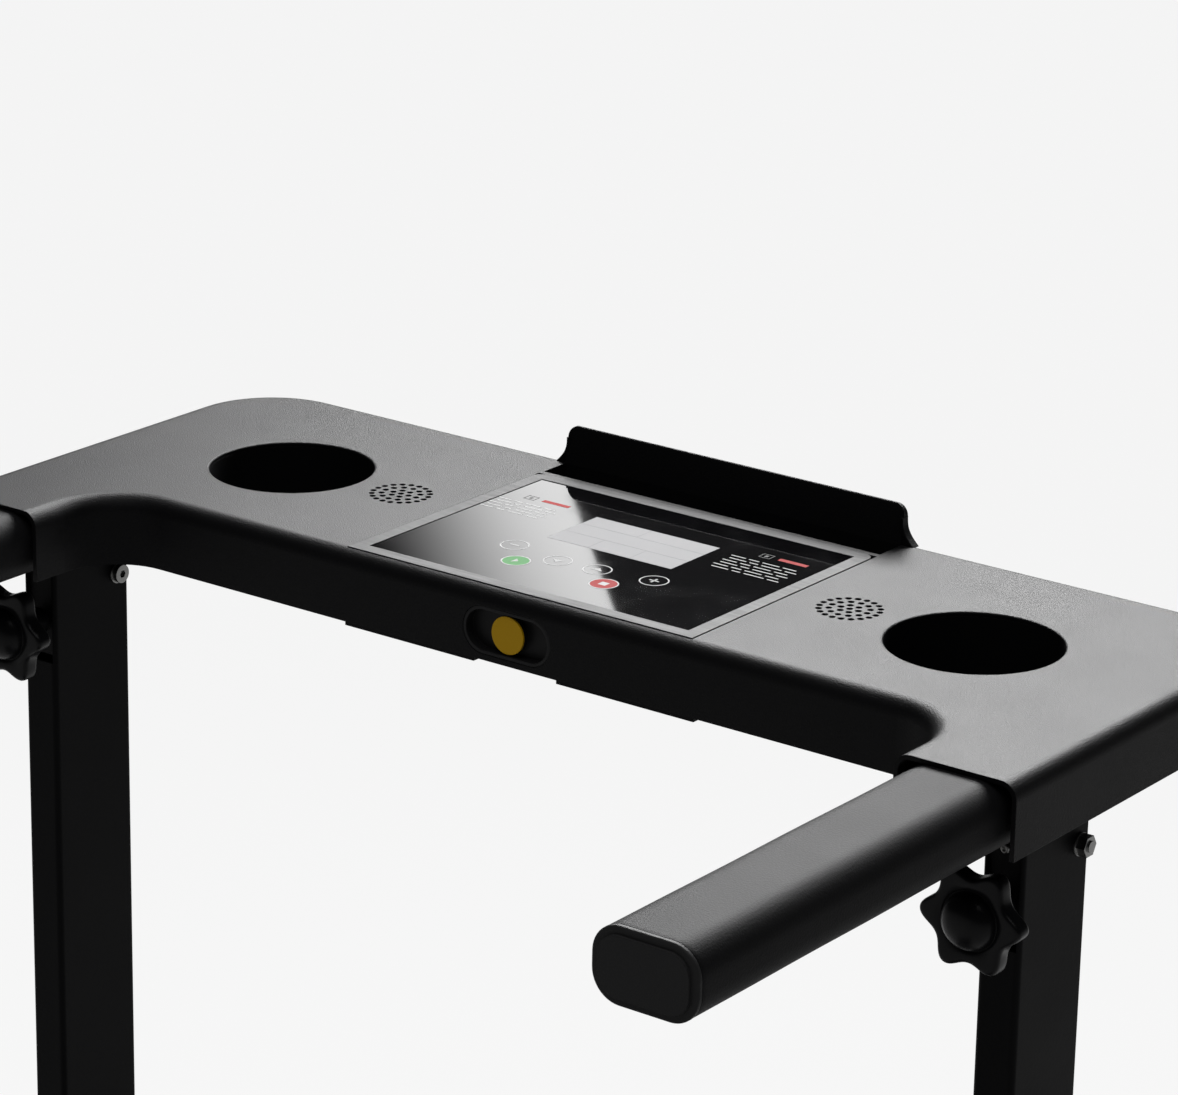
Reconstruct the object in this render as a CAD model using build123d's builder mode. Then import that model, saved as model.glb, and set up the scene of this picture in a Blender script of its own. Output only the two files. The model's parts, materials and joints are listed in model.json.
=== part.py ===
"""Folding treadmill with a desk-type console on two posts.

Frame: millimetres, +X to the user's right, +Y the way the user faces, +Z up. The origin is on the
floor at the centre of the base.
"""

from build123d import *
import math
import os

os.makedirs("parts", exist_ok=True)

# ---------------------------------------------------------------- driving dimensions
BASE_HALF_LENGTH = 680.0
BASE_HALF_WIDTH = 272.0
DESK_TOP = 1040.0
DESK_HALF_WIDTH = 344.0
DESK_THICKNESS = 39.0
POST_X = 314.0
POST_WIDTH = 23.0
POST_Y = 370.0
HINGE_HEIGHT = 100.0

# Desk: Y and Z measured from the panel's front edge on the desk top.
DESK_Y = POST_Y - 4.0
DESK_FRONT = -7.5
DESK_REAR = 199.0
ARM_INNER_X = 276.0
ARM_END = -65.6
SHELL_WALL = 2.5
EDGE_ROUND = 9.0
REAR_CORNER_R = 54.0
INNER_CORNER_R = 36.0
ARM_OVERRUN = 12.0
ARM_CORNER_R = 10.5
CUP_X = 224.4
CUP_Y = 86.0
CUP_R = 46.0
CUP_DEPTH = 52.0
CUP_EDGE_ROUND = 1.5
GRILLE_X = 147.8
GRILLE_Y = 88.0
GRILLE_HOLE_R = 1.75
GRILLE_RINGS = ((5.35, 6), (10.7, 12), (16.0, 20))
PANEL_HALF_WIDTH = 112.0
PANEL_REAR = 165.6
PANEL_GAP = 0.6
GLASS_HALF_WIDTH = 103.7
GLASS_FRONT = 8.2
GLASS_REAR = 157.5
LCD_HALF_WIDTH = 40.8
LCD_FRONT = 79.8
LCD_REAR = 124.4
KEYS = ((-46.0, 58.6), (-29.8, 38.7), (-12.9, 52.8), (11.8, 54.5), (27.8, 38.6), (45.1, 59.2))
KEY_R = 8.0
SLOT_FRONT = 170.0
SLOT_REAR = 189.6
SLOT_DEPTH = 12.0
DESK_SCREWS = [(x, y) for x in (-240, -120, 120, 240) for y in (18.0, 143.0)]
LIP_HEIGHT = 22.0
REST_CORNER_R = 6.5
POCKET_LENGTH = 57.0
POCKET_HEIGHT = 26.5
POCKET_Z = -22.5
POCKET_DEPTH = 7.5
CONTACT_R = 10.3
CONTACT_THICKNESS = 1.2

# Handles, tongues and the desk's pivot
HANDLE_X = 309.4
HANDLE_Z = -21.2
HANDLE_WIDTH = 57.0
HANDLE_HEIGHT = 37.4
HANDLE_ROUND = 15.0
HANDLE_PLATE_INSET = 4.0
HANDLE_END = -310.0
HANDLE_BAR_WIDTH = 48.0
HANDLE_BAR_HEIGHT = 29.0
HANDLE_BAR_ROUND = 10.0
PIVOT_Y = 26.5
PIVOT_Z = -63.5
PIVOT_R = 3.0
KNOB_Y = -45.5
KNOB_Z = -80.0
KNOB_R = 28.0
KNOB_VALLEY_R = 21.0
KNOB_LOBES = 6
KNOB_THICKNESS = 10.0
KNOB_STEM_R = 7.6
TONGUE_WIDTH = 18.4
TONGUE_FRONT = -22.6
TONGUE_REAR = 30.0
TONGUE_BOTTOM = -100.0

# Posts
POST_FRONT = -25.0
POST_REAR = 36.0
POST_WALL = 2.0
POST_TOP = -44.0
POST_FOOT = 76.0

# Base
RAIL_X = 222.5
RAIL_WIDTH = 25.0
RAIL_BOTTOM = 40.0
RAIL_TOP = 92.0
TUBE_WALL = 2.0
ROLLER_R = 21.0
ROLLER_Z = 80.0
FRONT_ROLLER_Y = 310.0
REAR_ROLLER_Y = -640.0
BELT_HALF_WIDTH = 190.0
BELT_THICKNESS = 1.6
ROLLING_GAP = 0.3
BOARD_TOP = 101.0
BOARD_THICKNESS = 16.0
FOOT_RAIL_INNER = 193.0
FOOT_RAIL_TOP = 112.0
FOOT_RAIL_FRONT = 294.0
HOOD_REAR = 296.0
HOOD_TOP = 141.0
HOOD_WALL = 3.0
MOTOR_Y = 474.0
MOTOR_Z = 90.0
MOTOR_R = 38.0
ROLLER_PULLEY_R = 24.0
MOTOR_PULLEY_R = 12.0
PULLEY_X = -200.0
PULLEY_WIDTH = 12.0
WHEEL_R = 25.0
WHEEL_X = 150.0
WHEEL_Y = 646.0
WHEEL_Z = 27.0
RUNNING = 0.05
SIDES = (("left", -1), ("right", 1))


# ---------------------------------------------------------------- helpers
def desk(x, y, z):
    """A point given in the desk's own measurements, in the part's frame."""
    return (x, DESK_Y + y, DESK_TOP + z)


def block(x_limits, y_limits, z_limits, mode=Mode.ADD):
    """Add or cut a box given by its limits along each axis."""
    centre = [(low + high) / 2 for low, high in (x_limits, y_limits, z_limits)]
    with Locations(tuple(centre)):
        Box(
            x_limits[1] - x_limits[0],
            y_limits[1] - y_limits[0],
            z_limits[1] - z_limits[0],
            mode=mode,
        )


def desk_block(x_limits, y_limits, z_limits, mode=Mode.ADD):
    """The same, with Y and Z in the desk's own measurements."""
    y_part = [DESK_Y + y for y in y_limits]
    z_part = [DESK_TOP + z for z in z_limits]
    block(x_limits, y_part, z_part, mode)


def rod(axis, centre, radius, length, mode=Mode.ADD):
    """Add or cut a cylinder along X, Y or Z, centred on a point."""
    turns = {"X": (0, 90, 0), "Y": (90, 0, 0), "Z": (0, 0, 0)}
    with Locations(Location(centre, turns[axis])):
        Cylinder(radius, length, mode=mode)


def hexagon(axis, centre, across_flats, length, mode=Mode.ADD):
    """Add or cut a hexagonal prism along X, Y or Z, centred on a point."""
    plane = {"X": Plane.YZ, "Y": Plane.XZ, "Z": Plane.XY}[axis]
    with BuildSketch(Plane(centre, x_dir=plane.x_dir, z_dir=plane.z_dir)) as flats:
        RegularPolygon(across_flats / 2, 6, major_radius=False)
    extrude(flats.sketch, amount=length / 2, both=True, mode=mode)


def mirrored(limits, sign):
    """X limits on the right (sign 1) or on the left (sign -1)."""
    return sorted(sign * value for value in limits)


def desk_outline(inset):
    """The desk's plan, a U open towards the user, drawn smaller by the inset.

    Its arms are drawn longer by the overrun, which is cut off square afterwards.
    """
    side = DESK_HALF_WIDTH - inset
    rear = DESK_Y + DESK_REAR - inset
    front = DESK_Y + DESK_FRONT + inset
    inner = ARM_INNER_X + inset
    arm_end = DESK_Y + ARM_END - ARM_OVERRUN + inset
    right = (
        (side, rear, REAR_CORNER_R - inset),
        (side, arm_end, ARM_CORNER_R - inset),
        (inner, arm_end, ARM_CORNER_R - inset),
        (inner, front, INNER_CORNER_R + inset),
    )
    left = [(-x, y, radius) for x, y, radius in reversed(right)]
    corners = [*right, *left]
    with BuildSketch() as outline:
        with BuildLine():
            FilletPolyline(
                *[(x, y) for x, y, _ in corners],
                radius=[radius for _, _, radius in corners],
                close=True,
            )
        make_face()
    return outline.sketch


def trim_arm_ends(y_end):
    """Cut the arms' overrun off square, at a distance in the desk's measurements."""
    desk_block(
        (-DESK_HALF_WIDTH - 1, DESK_HALF_WIDTH + 1),
        (ARM_END - ARM_OVERRUN - 1, y_end),
        (-60, 10),
        Mode.SUBTRACT,
    )


def handle_section(width, height, corner):
    """Rounded rectangle of a handle, on a plane that faces the user."""
    RectangleRounded(width, height, corner)


def handle_plane(x, y):
    """Plane across a handle, at a distance y in the desk's measurements."""
    return Plane(origin=desk(x, y, HANDLE_Z), x_dir=(1, 0, 0), z_dir=(0, -1, 0))


def pocket_plane(y):
    """Plane on the desk's front wall, facing the user, centred on the key pocket."""
    return Plane(origin=desk(0, y, POCKET_Z), x_dir=(1, 0, 0), z_dir=(0, -1, 0))


def lobed_outline(tip_r, valley_r, lobes):
    """Points of a star knob's outline, alternately on a lobe's tip and in a valley."""
    points = []
    for step in range(2 * lobes):
        radius = valley_r if step % 2 else tip_r
        angle = math.pi * step / lobes
        points.append((radius * math.cos(angle), radius * math.sin(angle)))
    return points


def belt_loop(front, rear, radius_front, radius_rear):
    """Loop outline round two rollers, on a sketch across the machine (Y, Z)."""
    with Locations(front):
        Circle(radius_front)
    with Locations(rear):
        Circle(radius_rear)
    make_hull()


# ---------------------------------------------------------------- desk: shells
with BuildPart() as shell_hollow:
    with BuildSketch(Plane.XY.offset(DESK_TOP - DESK_THICKNESS)):
        add(desk_outline(SHELL_WALL))
    extrude(amount=DESK_THICKNESS - SHELL_WALL)
    fillet(shell_hollow.faces().sort_by(Axis.Z)[-1].edges(), EDGE_ROUND - SHELL_WALL)

with BuildPart() as desk_top_shell:
    with BuildSketch(Plane.XY.offset(DESK_TOP - DESK_THICKNESS)):
        add(desk_outline(0))
    extrude(amount=DESK_THICKNESS)
    fillet(desk_top_shell.faces().sort_by(Axis.Z)[-1].edges(), EDGE_ROUND)
    add(shell_hollow.part, mode=Mode.SUBTRACT)
    # the arms end square and open, with the handles coming out of them
    trim_arm_ends(ARM_END)
    # panel opening, tablet slot and cup holes
    desk_block(
        (-PANEL_HALF_WIDTH - PANEL_GAP, PANEL_HALF_WIDTH + PANEL_GAP),
        (-PANEL_GAP, PANEL_REAR + PANEL_GAP),
        (-10, 2),
        Mode.SUBTRACT,
    )
    desk_block(
        (-PANEL_HALF_WIDTH, PANEL_HALF_WIDTH),
        (SLOT_FRONT, DESK_REAR + 1),
        (-SLOT_DEPTH, 2),
        Mode.SUBTRACT,
    )
    for side, sign in SIDES:
        rod("Z", desk(sign * CUP_X, CUP_Y, 0), CUP_R, 20, Mode.SUBTRACT)
        rod("Z", desk(sign * GRILLE_X, GRILLE_Y, 0), GRILLE_HOLE_R, 20, Mode.SUBTRACT)
        for ring_r, count in GRILLE_RINGS:
            with Locations(desk(sign * GRILLE_X, GRILLE_Y, 0)):
                with PolarLocations(ring_r, count):
                    Cylinder(GRILLE_HOLE_R, 20, mode=Mode.SUBTRACT)
    with BuildSketch(pocket_plane(DESK_FRONT - 1)):
        SlotOverall(POCKET_LENGTH, POCKET_HEIGHT)
    extrude(amount=-5, mode=Mode.SUBTRACT)
    top_circles = desk_top_shell.faces().sort_by(Axis.Z)[-1].edges().filter_by(GeomType.CIRCLE)
    fillet([edge for edge in top_circles if abs(edge.radius - CUP_R) < 1], CUP_EDGE_ROUND)
desk_top_shell.part.label = "desk_top_shell"
export_step(desk_top_shell.part, "parts/desk_top_shell.step")

with BuildPart() as desk_bottom_cover:
    with BuildSketch(Plane.XY.offset(DESK_TOP - DESK_THICKNESS + 0.6)):
        add(desk_outline(SHELL_WALL + 0.2))
    extrude(amount=2.4)
    with BuildSketch(Plane.XY.offset(DESK_TOP - DESK_THICKNESS + 3)):
        add(desk_outline(SHELL_WALL + 0.2))
    extrude(amount=6)
    with BuildSketch(Plane.XY.offset(DESK_TOP - DESK_THICKNESS + 3)):
        add(desk_outline(SHELL_WALL + 2.2))
    extrude(amount=6, mode=Mode.SUBTRACT)
    trim_arm_ends(ARM_END + 1)
    # two shallow bosses under the panel
    for side, sign in SIDES:
        desk_block(mirrored((27, 114), sign), (0, 60), (-44.4, -36.5))
    # openings for the cups, the posts and the handles, and the pocket's relief
    for side, sign in SIDES:
        rod("Z", desk(sign * CUP_X, CUP_Y, -36), CUP_R + 3.2, 14, Mode.SUBTRACT)
        desk_block(mirrored((300, 328), sign), (-30, 46), (-46, -25), Mode.SUBTRACT)
        desk_block(mirrored((279, 341), sign), (-70, -32), (-46, -20), Mode.SUBTRACT)
    for x_screw, y_screw in DESK_SCREWS:
        rod("Z", desk(x_screw, y_screw, -37), 1.5, 6, Mode.SUBTRACT)
    desk_block((-POCKET_LENGTH / 2 - 1, POCKET_LENGTH / 2 + 1), (-8, 3), (-36, -25), Mode.SUBTRACT)
desk_bottom_cover.part.label = "desk_bottom_cover"
export_step(desk_bottom_cover.part, "parts/desk_bottom_cover.step")

# ---------------------------------------------------------------- desk: steel frame
for side, sign in SIDES:
    x_post = sign * POST_X
    # handle bar with the tongue that drops into the post welded under it
    bar_bottom = HANDLE_Z - HANDLE_BAR_HEIGHT / 2
    with BuildPart() as handle_bar:
        with BuildSketch(handle_plane(sign * HANDLE_X, HANDLE_END + 5)):
            handle_section(HANDLE_BAR_WIDTH, HANDLE_BAR_HEIGHT, HANDLE_BAR_ROUND)
            RectangleRounded(
                HANDLE_BAR_WIDTH - 4, HANDLE_BAR_HEIGHT - 4, HANDLE_BAR_ROUND - 2, mode=Mode.SUBTRACT
            )
        extrude(amount=HANDLE_END + 5 - 150)
        x_limits = (x_post - TONGUE_WIDTH / 2, x_post + TONGUE_WIDTH / 2)
        desk_block(x_limits, (TONGUE_FRONT, TONGUE_REAR), (TONGUE_BOTTOM, bar_bottom + 1))
        rod("X", desk(x_post, PIVOT_Y, PIVOT_Z), 6.5, TONGUE_WIDTH)
        # hollow of the tongue, leaving a solid eye round the pivot
        x_hollow = (x_limits[0] + 2.5, x_limits[1] - 2.5)
        desk_block(
            x_hollow, (TONGUE_FRONT + 3, PIVOT_Y - 8), (TONGUE_BOTTOM - 1, bar_bottom - 4), Mode.SUBTRACT
        )
        rod("X", desk(x_post, PIVOT_Y, PIVOT_Z), PIVOT_R + RUNNING, 40, Mode.SUBTRACT)
        # threaded plate for the star knob's stud
        hexagon("Y", desk(x_post, TONGUE_FRONT + 6, KNOB_Z), 10.4, 7)
        rod("Y", desk(x_post, TONGUE_FRONT + 4, KNOB_Z), 4 + RUNNING, 16, Mode.SUBTRACT)
    handle_bar.part.label = "handle_bar_" + side
    export_step(handle_bar.part, "parts/handle_bar_" + side + ".step")

    with BuildPart() as handle_grip:
        with BuildSketch(handle_plane(sign * HANDLE_X, HANDLE_END + 4)):
            handle_section(HANDLE_WIDTH, HANDLE_HEIGHT, HANDLE_ROUND)
            RectangleRounded(
                HANDLE_BAR_WIDTH + 0.1, HANDLE_BAR_HEIGHT + 0.1, HANDLE_BAR_ROUND, mode=Mode.SUBTRACT
            )
        extrude(amount=HANDLE_END + 4 - (ARM_END + 30))
    handle_grip.part.label = "handle_grip_" + side
    export_step(handle_grip.part, "parts/handle_grip_" + side + ".step")

with BuildPart() as handle_end_caps:
    for side, sign in SIDES:
        with BuildSketch(handle_plane(sign * HANDLE_X, HANDLE_END + 1.5)):
            handle_section(HANDLE_WIDTH, HANDLE_HEIGHT, HANDLE_ROUND)
        extrude(amount=-2.5)
    fillet(handle_end_caps.edges().group_by(Axis.Y)[0], 1.2)
    for side, sign in SIDES:
        # plate that stands proud inside the rim
        with BuildSketch(handle_plane(sign * HANDLE_X, HANDLE_END)):
            handle_section(
                HANDLE_WIDTH - 2 * HANDLE_PLATE_INSET,
                HANDLE_HEIGHT - 2 * HANDLE_PLATE_INSET,
                HANDLE_ROUND - HANDLE_PLATE_INSET,
            )
        extrude(amount=-2.5)
        with BuildSketch(handle_plane(sign * HANDLE_X, HANDLE_END + 4)):
            handle_section(HANDLE_BAR_WIDTH - 4.4, HANDLE_BAR_HEIGHT - 4.4, HANDLE_BAR_ROUND - 2.2)
        extrude(amount=-16)
handle_end_caps.part.label = "handle_end_caps"
export_step(handle_end_caps.part, "parts/handle_end_caps.step")

with BuildPart() as desk_cross_tubes:
    tube_x = HANDLE_X - HANDLE_BAR_WIDTH / 2
    for y_centre in (18.0, 143.0):
        desk_block((-tube_x, tube_x), (y_centre - 9, y_centre + 9), (-35, -23))
        desk_block((-tube_x, tube_x), (y_centre - 7.4, y_centre + 7.4), (-33.4, -24.6), Mode.SUBTRACT)
desk_cross_tubes.part.label = "desk_cross_tubes"
export_step(desk_cross_tubes.part, "parts/desk_cross_tubes.step")

# ---------------------------------------------------------------- desk: console
with BuildPart() as panel_bezel:
    desk_block((-PANEL_HALF_WIDTH, PANEL_HALF_WIDTH), (0, PANEL_REAR), (-7, 0.3))
    corner_edges = panel_bezel.edges().filter_by(Axis.Z).group_by(Axis.Y)[-1]
    fillet(corner_edges, 6)
    desk_block(
        (-GLASS_HALF_WIDTH - 0.2, GLASS_HALF_WIDTH + 0.2),
        (GLASS_FRONT - 0.2, GLASS_REAR + 0.2),
        (-2.3, 2),
        Mode.SUBTRACT,
    )
    desk_block(
        (-GLASS_HALF_WIDTH + 4, GLASS_HALF_WIDTH - 4),
        (GLASS_FRONT + 4, GLASS_REAR - 4),
        (-10, 2),
        Mode.SUBTRACT,
    )
panel_bezel.part.label = "panel_bezel"
export_step(panel_bezel.part, "parts/panel_bezel.step")

with BuildPart() as panel_glass:
    desk_block((-GLASS_HALF_WIDTH, GLASS_HALF_WIDTH), (GLASS_FRONT, GLASS_REAR), (-2.3, 0))
panel_glass.part.label = "panel_glass"
export_step(panel_glass.part, "parts/panel_glass.step")

with BuildPart() as lcd_module:
    desk_block((-LCD_HALF_WIDTH - 4, LCD_HALF_WIDTH + 4), (LCD_FRONT - 4, LCD_REAR + 4), (-7.5, -2.3))
lcd_module.part.label = "lcd_module"
export_step(lcd_module.part, "parts/lcd_module.step")

with BuildPart() as touch_pads:
    for x_key, y_key in KEYS:
        rod("Z", desk(x_key, y_key, -5.2), KEY_R - 1, 5.8)
        rod("Z", desk(x_key, y_key, -6), KEY_R - 2.5, 6, Mode.SUBTRACT)
touch_pads.part.label = "touch_pads"
export_step(touch_pads.part, "parts/touch_pads.step")

with BuildPart() as console_board:
    desk_block((-92, 92), (22, 150), (-9.7, -8.1))
    desk_block((-20, 20), (84, 120), (-13.2, -9.7))
    desk_block((48, 74), (60, 74), (-18, -9.7))
    for x_chip in (-70, -56, -42):
        desk_block((x_chip, x_chip + 8), (96, 108), (-12, -9.7))
console_board.part.label = "console_board"
export_step(console_board.part, "parts/console_board.step")

with BuildPart() as cup_liners:
    for side, sign in SIDES:
        x_cup = sign * CUP_X
        rod("Z", desk(x_cup, CUP_Y, -(SHELL_WALL + CUP_DEPTH) / 2), CUP_R + 2, CUP_DEPTH - SHELL_WALL)
        rod("Z", desk(x_cup, CUP_Y, -SHELL_WALL - 1), CUP_R + 7, 2)
        rod("Z", desk(x_cup, CUP_Y, -CUP_DEPTH / 2 + 2), CUP_R, CUP_DEPTH, Mode.SUBTRACT)
cup_liners.part.label = "cup_liners"
export_step(cup_liners.part, "parts/cup_liners.step")

with BuildPart() as speakers:
    for side, sign in SIDES:
        x_speaker = sign * GRILLE_X
        rod("Z", desk(x_speaker, GRILLE_Y, -SHELL_WALL - 1), 21, 2)
        rod("Z", desk(x_speaker, GRILLE_Y, -SHELL_WALL - 1), 18.2, 2, Mode.SUBTRACT)
        rod("Z", desk(x_speaker, GRILLE_Y, -SHELL_WALL - 6), 19.5, 8)
        rod("Z", desk(x_speaker, GRILLE_Y, -SHELL_WALL - 13), 11, 6)
        with Locations(desk(x_speaker, GRILLE_Y, -SHELL_WALL - 5)):
            Cone(6, 15, 6.2, mode=Mode.SUBTRACT)
speakers.part.label = "speakers"
export_step(speakers.part, "parts/speakers.step")

with BuildPart() as rest_corners:
    z_corner = LIP_HEIGHT - REST_CORNER_R
    for side, sign in SIDES:
        x_corner = PANEL_HALF_WIDTH - REST_CORNER_R
        desk_block(
            mirrored((x_corner, PANEL_HALF_WIDTH + 1), sign),
            (SLOT_REAR - 1, DESK_REAR + 1),
            (z_corner, LIP_HEIGHT + 1),
        )
        rod("Y", desk(sign * x_corner, (SLOT_REAR + DESK_REAR) / 2, z_corner), REST_CORNER_R, 20, Mode.SUBTRACT)

with BuildPart() as tablet_rest:
    # tray under the slot
    tray_x = (-PANEL_HALF_WIDTH - 3, PANEL_HALF_WIDTH + 3)
    slot_x = (-PANEL_HALF_WIDTH, PANEL_HALF_WIDTH)
    desk_block(tray_x, (SLOT_FRONT - 3, DESK_REAR - EDGE_ROUND), (-SLOT_DEPTH - 2, -SHELL_WALL))
    # rear edge and leaning back rest behind the slot
    with BuildSketch(Plane.YZ.offset(-PANEL_HALF_WIDTH)):
        with BuildLine():
            foot_front = desk(0, SLOT_REAR, -SLOT_DEPTH)[1:]
            lip_front = desk(0, SLOT_REAR, 0)[1:]
            top_front = desk(0, SLOT_REAR + 3.4, LIP_HEIGHT - 1)[1:]
            top_middle = desk(0, SLOT_REAR + 4.6, LIP_HEIGHT)[1:]
            top_rear = desk(0, SLOT_REAR + 5.8, LIP_HEIGHT - 1)[1:]
            waist = desk(0, SLOT_REAR + 7.0, LIP_HEIGHT / 2)[1:]
            heel = desk(0, DESK_REAR, -4)[1:]
            foot_rear = desk(0, DESK_REAR, -SLOT_DEPTH)[1:]
            Polyline(foot_rear, foot_front, lip_front, top_front)
            ThreePointArc(top_front, top_middle, top_rear)
            Polyline(top_rear, waist, heel, foot_rear)
        make_face()
    extrude(amount=2 * PANEL_HALF_WIDTH)
    add(rest_corners.part, mode=Mode.SUBTRACT)
    desk_block(slot_x, (SLOT_FRONT, SLOT_REAR), (-SLOT_DEPTH, 1), Mode.SUBTRACT)
tablet_rest.part.label = "tablet_rest"
export_step(tablet_rest.part, "parts/tablet_rest.step")

with BuildPart() as slot_strip:
    desk_block(
        (-PANEL_HALF_WIDTH + 1, PANEL_HALF_WIDTH - 1),
        (SLOT_FRONT + 1, SLOT_REAR - 2),
        (-SLOT_DEPTH, -SLOT_DEPTH + 2),
    )
slot_strip.part.label = "slot_strip"
export_step(slot_strip.part, "parts/slot_strip.step")

contact_front = DESK_FRONT + 1.0
contact_back = contact_front + CONTACT_THICKNESS
pocket_floor = DESK_FRONT + POCKET_DEPTH - 1.5
with BuildPart() as key_pocket:
    with BuildSketch(pocket_plane(DESK_FRONT + 0.2)):
        SlotOverall(POCKET_LENGTH - 0.4, POCKET_HEIGHT - 0.4)
    extrude(amount=-POCKET_DEPTH)
    with BuildSketch(pocket_plane(DESK_FRONT)):
        SlotOverall(POCKET_LENGTH - 4, POCKET_HEIGHT - 4)
    extrude(amount=-POCKET_DEPTH + 1.5, mode=Mode.SUBTRACT)
    # boss that carries the contact
    rod("Y", desk(0, (contact_back + pocket_floor) / 2, POCKET_Z), CONTACT_R - 0.5, pocket_floor - contact_back)
key_pocket.part.label = "key_pocket"
export_step(key_pocket.part, "parts/key_pocket.step")

with BuildPart() as key_contact:
    rod("Y", desk(0, (contact_front + contact_back) / 2, POCKET_Z), CONTACT_R, CONTACT_THICKNESS)
key_contact.part.label = "key_contact"
export_step(key_contact.part, "parts/key_contact.step")

with BuildPart() as reed_board:
    pocket_back = DESK_FRONT + 0.2 + POCKET_DEPTH
    desk_block((-14, 14), (pocket_back, pocket_back + 1.6), (POCKET_Z - 9, POCKET_Z + 9))
    rod("X", desk(0, pocket_back + 3, POCKET_Z), 1.4, 14)
reed_board.part.label = "reed_board"
export_step(reed_board.part, "parts/reed_board.step")

with BuildPart() as desk_screws:
    for x_screw, y_screw in DESK_SCREWS:
        rod("Z", desk(x_screw, y_screw, -39.6), 3.6, 2.4)
        rod("Z", desk(x_screw, y_screw, -36.8), 1.5, 3.6)
desk_screws.part.label = "desk_screws"
export_step(desk_screws.part, "parts/desk_screws.step")

# ---------------------------------------------------------------- star knobs on the posts
for side, sign in SIDES:
    x_post = sign * POST_X
    knob_plane = Plane(origin=desk(x_post, KNOB_Y, KNOB_Z), x_dir=(1, 0, 0), z_dir=(0, -1, 0))
    with BuildPart() as star_knob:
        with BuildSketch(knob_plane):
            with BuildLine():
                Spline(*lobed_outline(KNOB_R, KNOB_VALLEY_R, KNOB_LOBES), periodic=True)
            make_face()
        extrude(amount=KNOB_THICKNESS)
        with Locations(desk(x_post, KNOB_Y - KNOB_THICKNESS / 2, KNOB_Z)):
            Sphere(13.5)
        desk_block(
            (x_post - 20, x_post + 20), (KNOB_Y, -20), (KNOB_Z - 20, KNOB_Z + 20), Mode.SUBTRACT
        )
        stem_end = TONGUE_FRONT - 2.7
        stem_start = KNOB_Y - 0.5
        rod("Y", desk(x_post, (stem_start + stem_end) / 2, KNOB_Z), KNOB_STEM_R, stem_end - stem_start)
        # steel stud moulded into the knob
        rod("Y", desk(x_post, -20, KNOB_Z), 4, 20)
    star_knob.part.label = "star_knob_" + side
    export_step(star_knob.part, "parts/star_knob_" + side + ".step")

# ---------------------------------------------------------------- posts
post_top = DESK_TOP + POST_TOP
for side, sign in SIDES:
    x_post = sign * POST_X
    x_limits = (x_post - POST_WIDTH / 2, x_post + POST_WIDTH / 2)
    x_inner = (x_limits[0] + POST_WALL, x_limits[1] - POST_WALL)
    y_limits = (DESK_Y + POST_FRONT, DESK_Y + POST_REAR)
    y_inner = (y_limits[0] + POST_WALL, y_limits[1] - POST_WALL)
    with BuildPart() as post:
        block(x_limits, y_limits, (POST_FOOT, post_top))
        fillet(post.edges().filter_by(Axis.Z), 3)
        block(x_inner, y_inner, (POST_FOOT - 1, post_top + 1), Mode.SUBTRACT)
        # the front is open where the tongue swings out, the back where it tilts
        z_open = DESK_TOP + TONGUE_BOTTOM - 4
        block(x_inner, (y_limits[0] - 1, y_inner[1] - 10), (z_open, post_top + 1), Mode.SUBTRACT)
        z_notch = DESK_TOP + PIVOT_Z - 9
        block(x_inner, (y_inner[1] - 11, y_limits[1] + 1), (z_notch, post_top + 1), Mode.SUBTRACT)
        rod("X", desk(x_post, PIVOT_Y, PIVOT_Z), PIVOT_R + RUNNING, 40, Mode.SUBTRACT)
        rod("X", (x_post, POST_Y, HINGE_HEIGHT), 7 + RUNNING, 40, Mode.SUBTRACT)
    post.part.label = "post_" + side
    export_step(post.part, "parts/post_" + side + ".step")

with BuildPart() as pivot_fasteners:
    for side, sign in SIDES:
        x_post = sign * POST_X
        y_pivot, z_pivot = desk(0, PIVOT_Y, PIVOT_Z)[1:]
        x_head = sign * (POST_X - POST_WIDTH / 2)
        x_nut = sign * (POST_X + POST_WIDTH / 2)
        rod("X", (x_post, y_pivot, z_pivot), PIVOT_R, POST_WIDTH + 14)
        rod("X", (x_head - sign * 0.5, y_pivot, z_pivot), 6, 1)
        rod("X", (x_head - sign * 2.6, y_pivot, z_pivot), 5.2, 3.3)
        hexagon("X", (x_head - sign * 3.6, y_pivot, z_pivot), 4, 2, Mode.SUBTRACT)
        block(
            mirrored((abs(x_head) - 20, abs(x_head) - 4.25), sign),
            (y_pivot - 7, y_pivot + 7),
            (z_pivot - 7, z_pivot + 7),
            Mode.SUBTRACT,
        )
        rod("X", (x_nut + sign * 0.5, y_pivot, z_pivot), 6, 1)
        hexagon("X", (x_nut + sign * 3.5, y_pivot, z_pivot), 10, 5)
pivot_fasteners.part.label = "pivot_fasteners"
export_step(pivot_fasteners.part, "parts/pivot_fasteners.step")

with BuildPart() as hinge_bushes:
    for side, sign in SIDES:
        bush_centre = (sign * POST_X, POST_Y, HINGE_HEIGHT)
        rod("X", bush_centre, 7, POST_WIDTH + 1.2)
        rod("X", bush_centre, 5 + RUNNING, POST_WIDTH + 4, Mode.SUBTRACT)
hinge_bushes.part.label = "hinge_bushes"
export_step(hinge_bushes.part, "parts/hinge_bushes.step")

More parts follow.
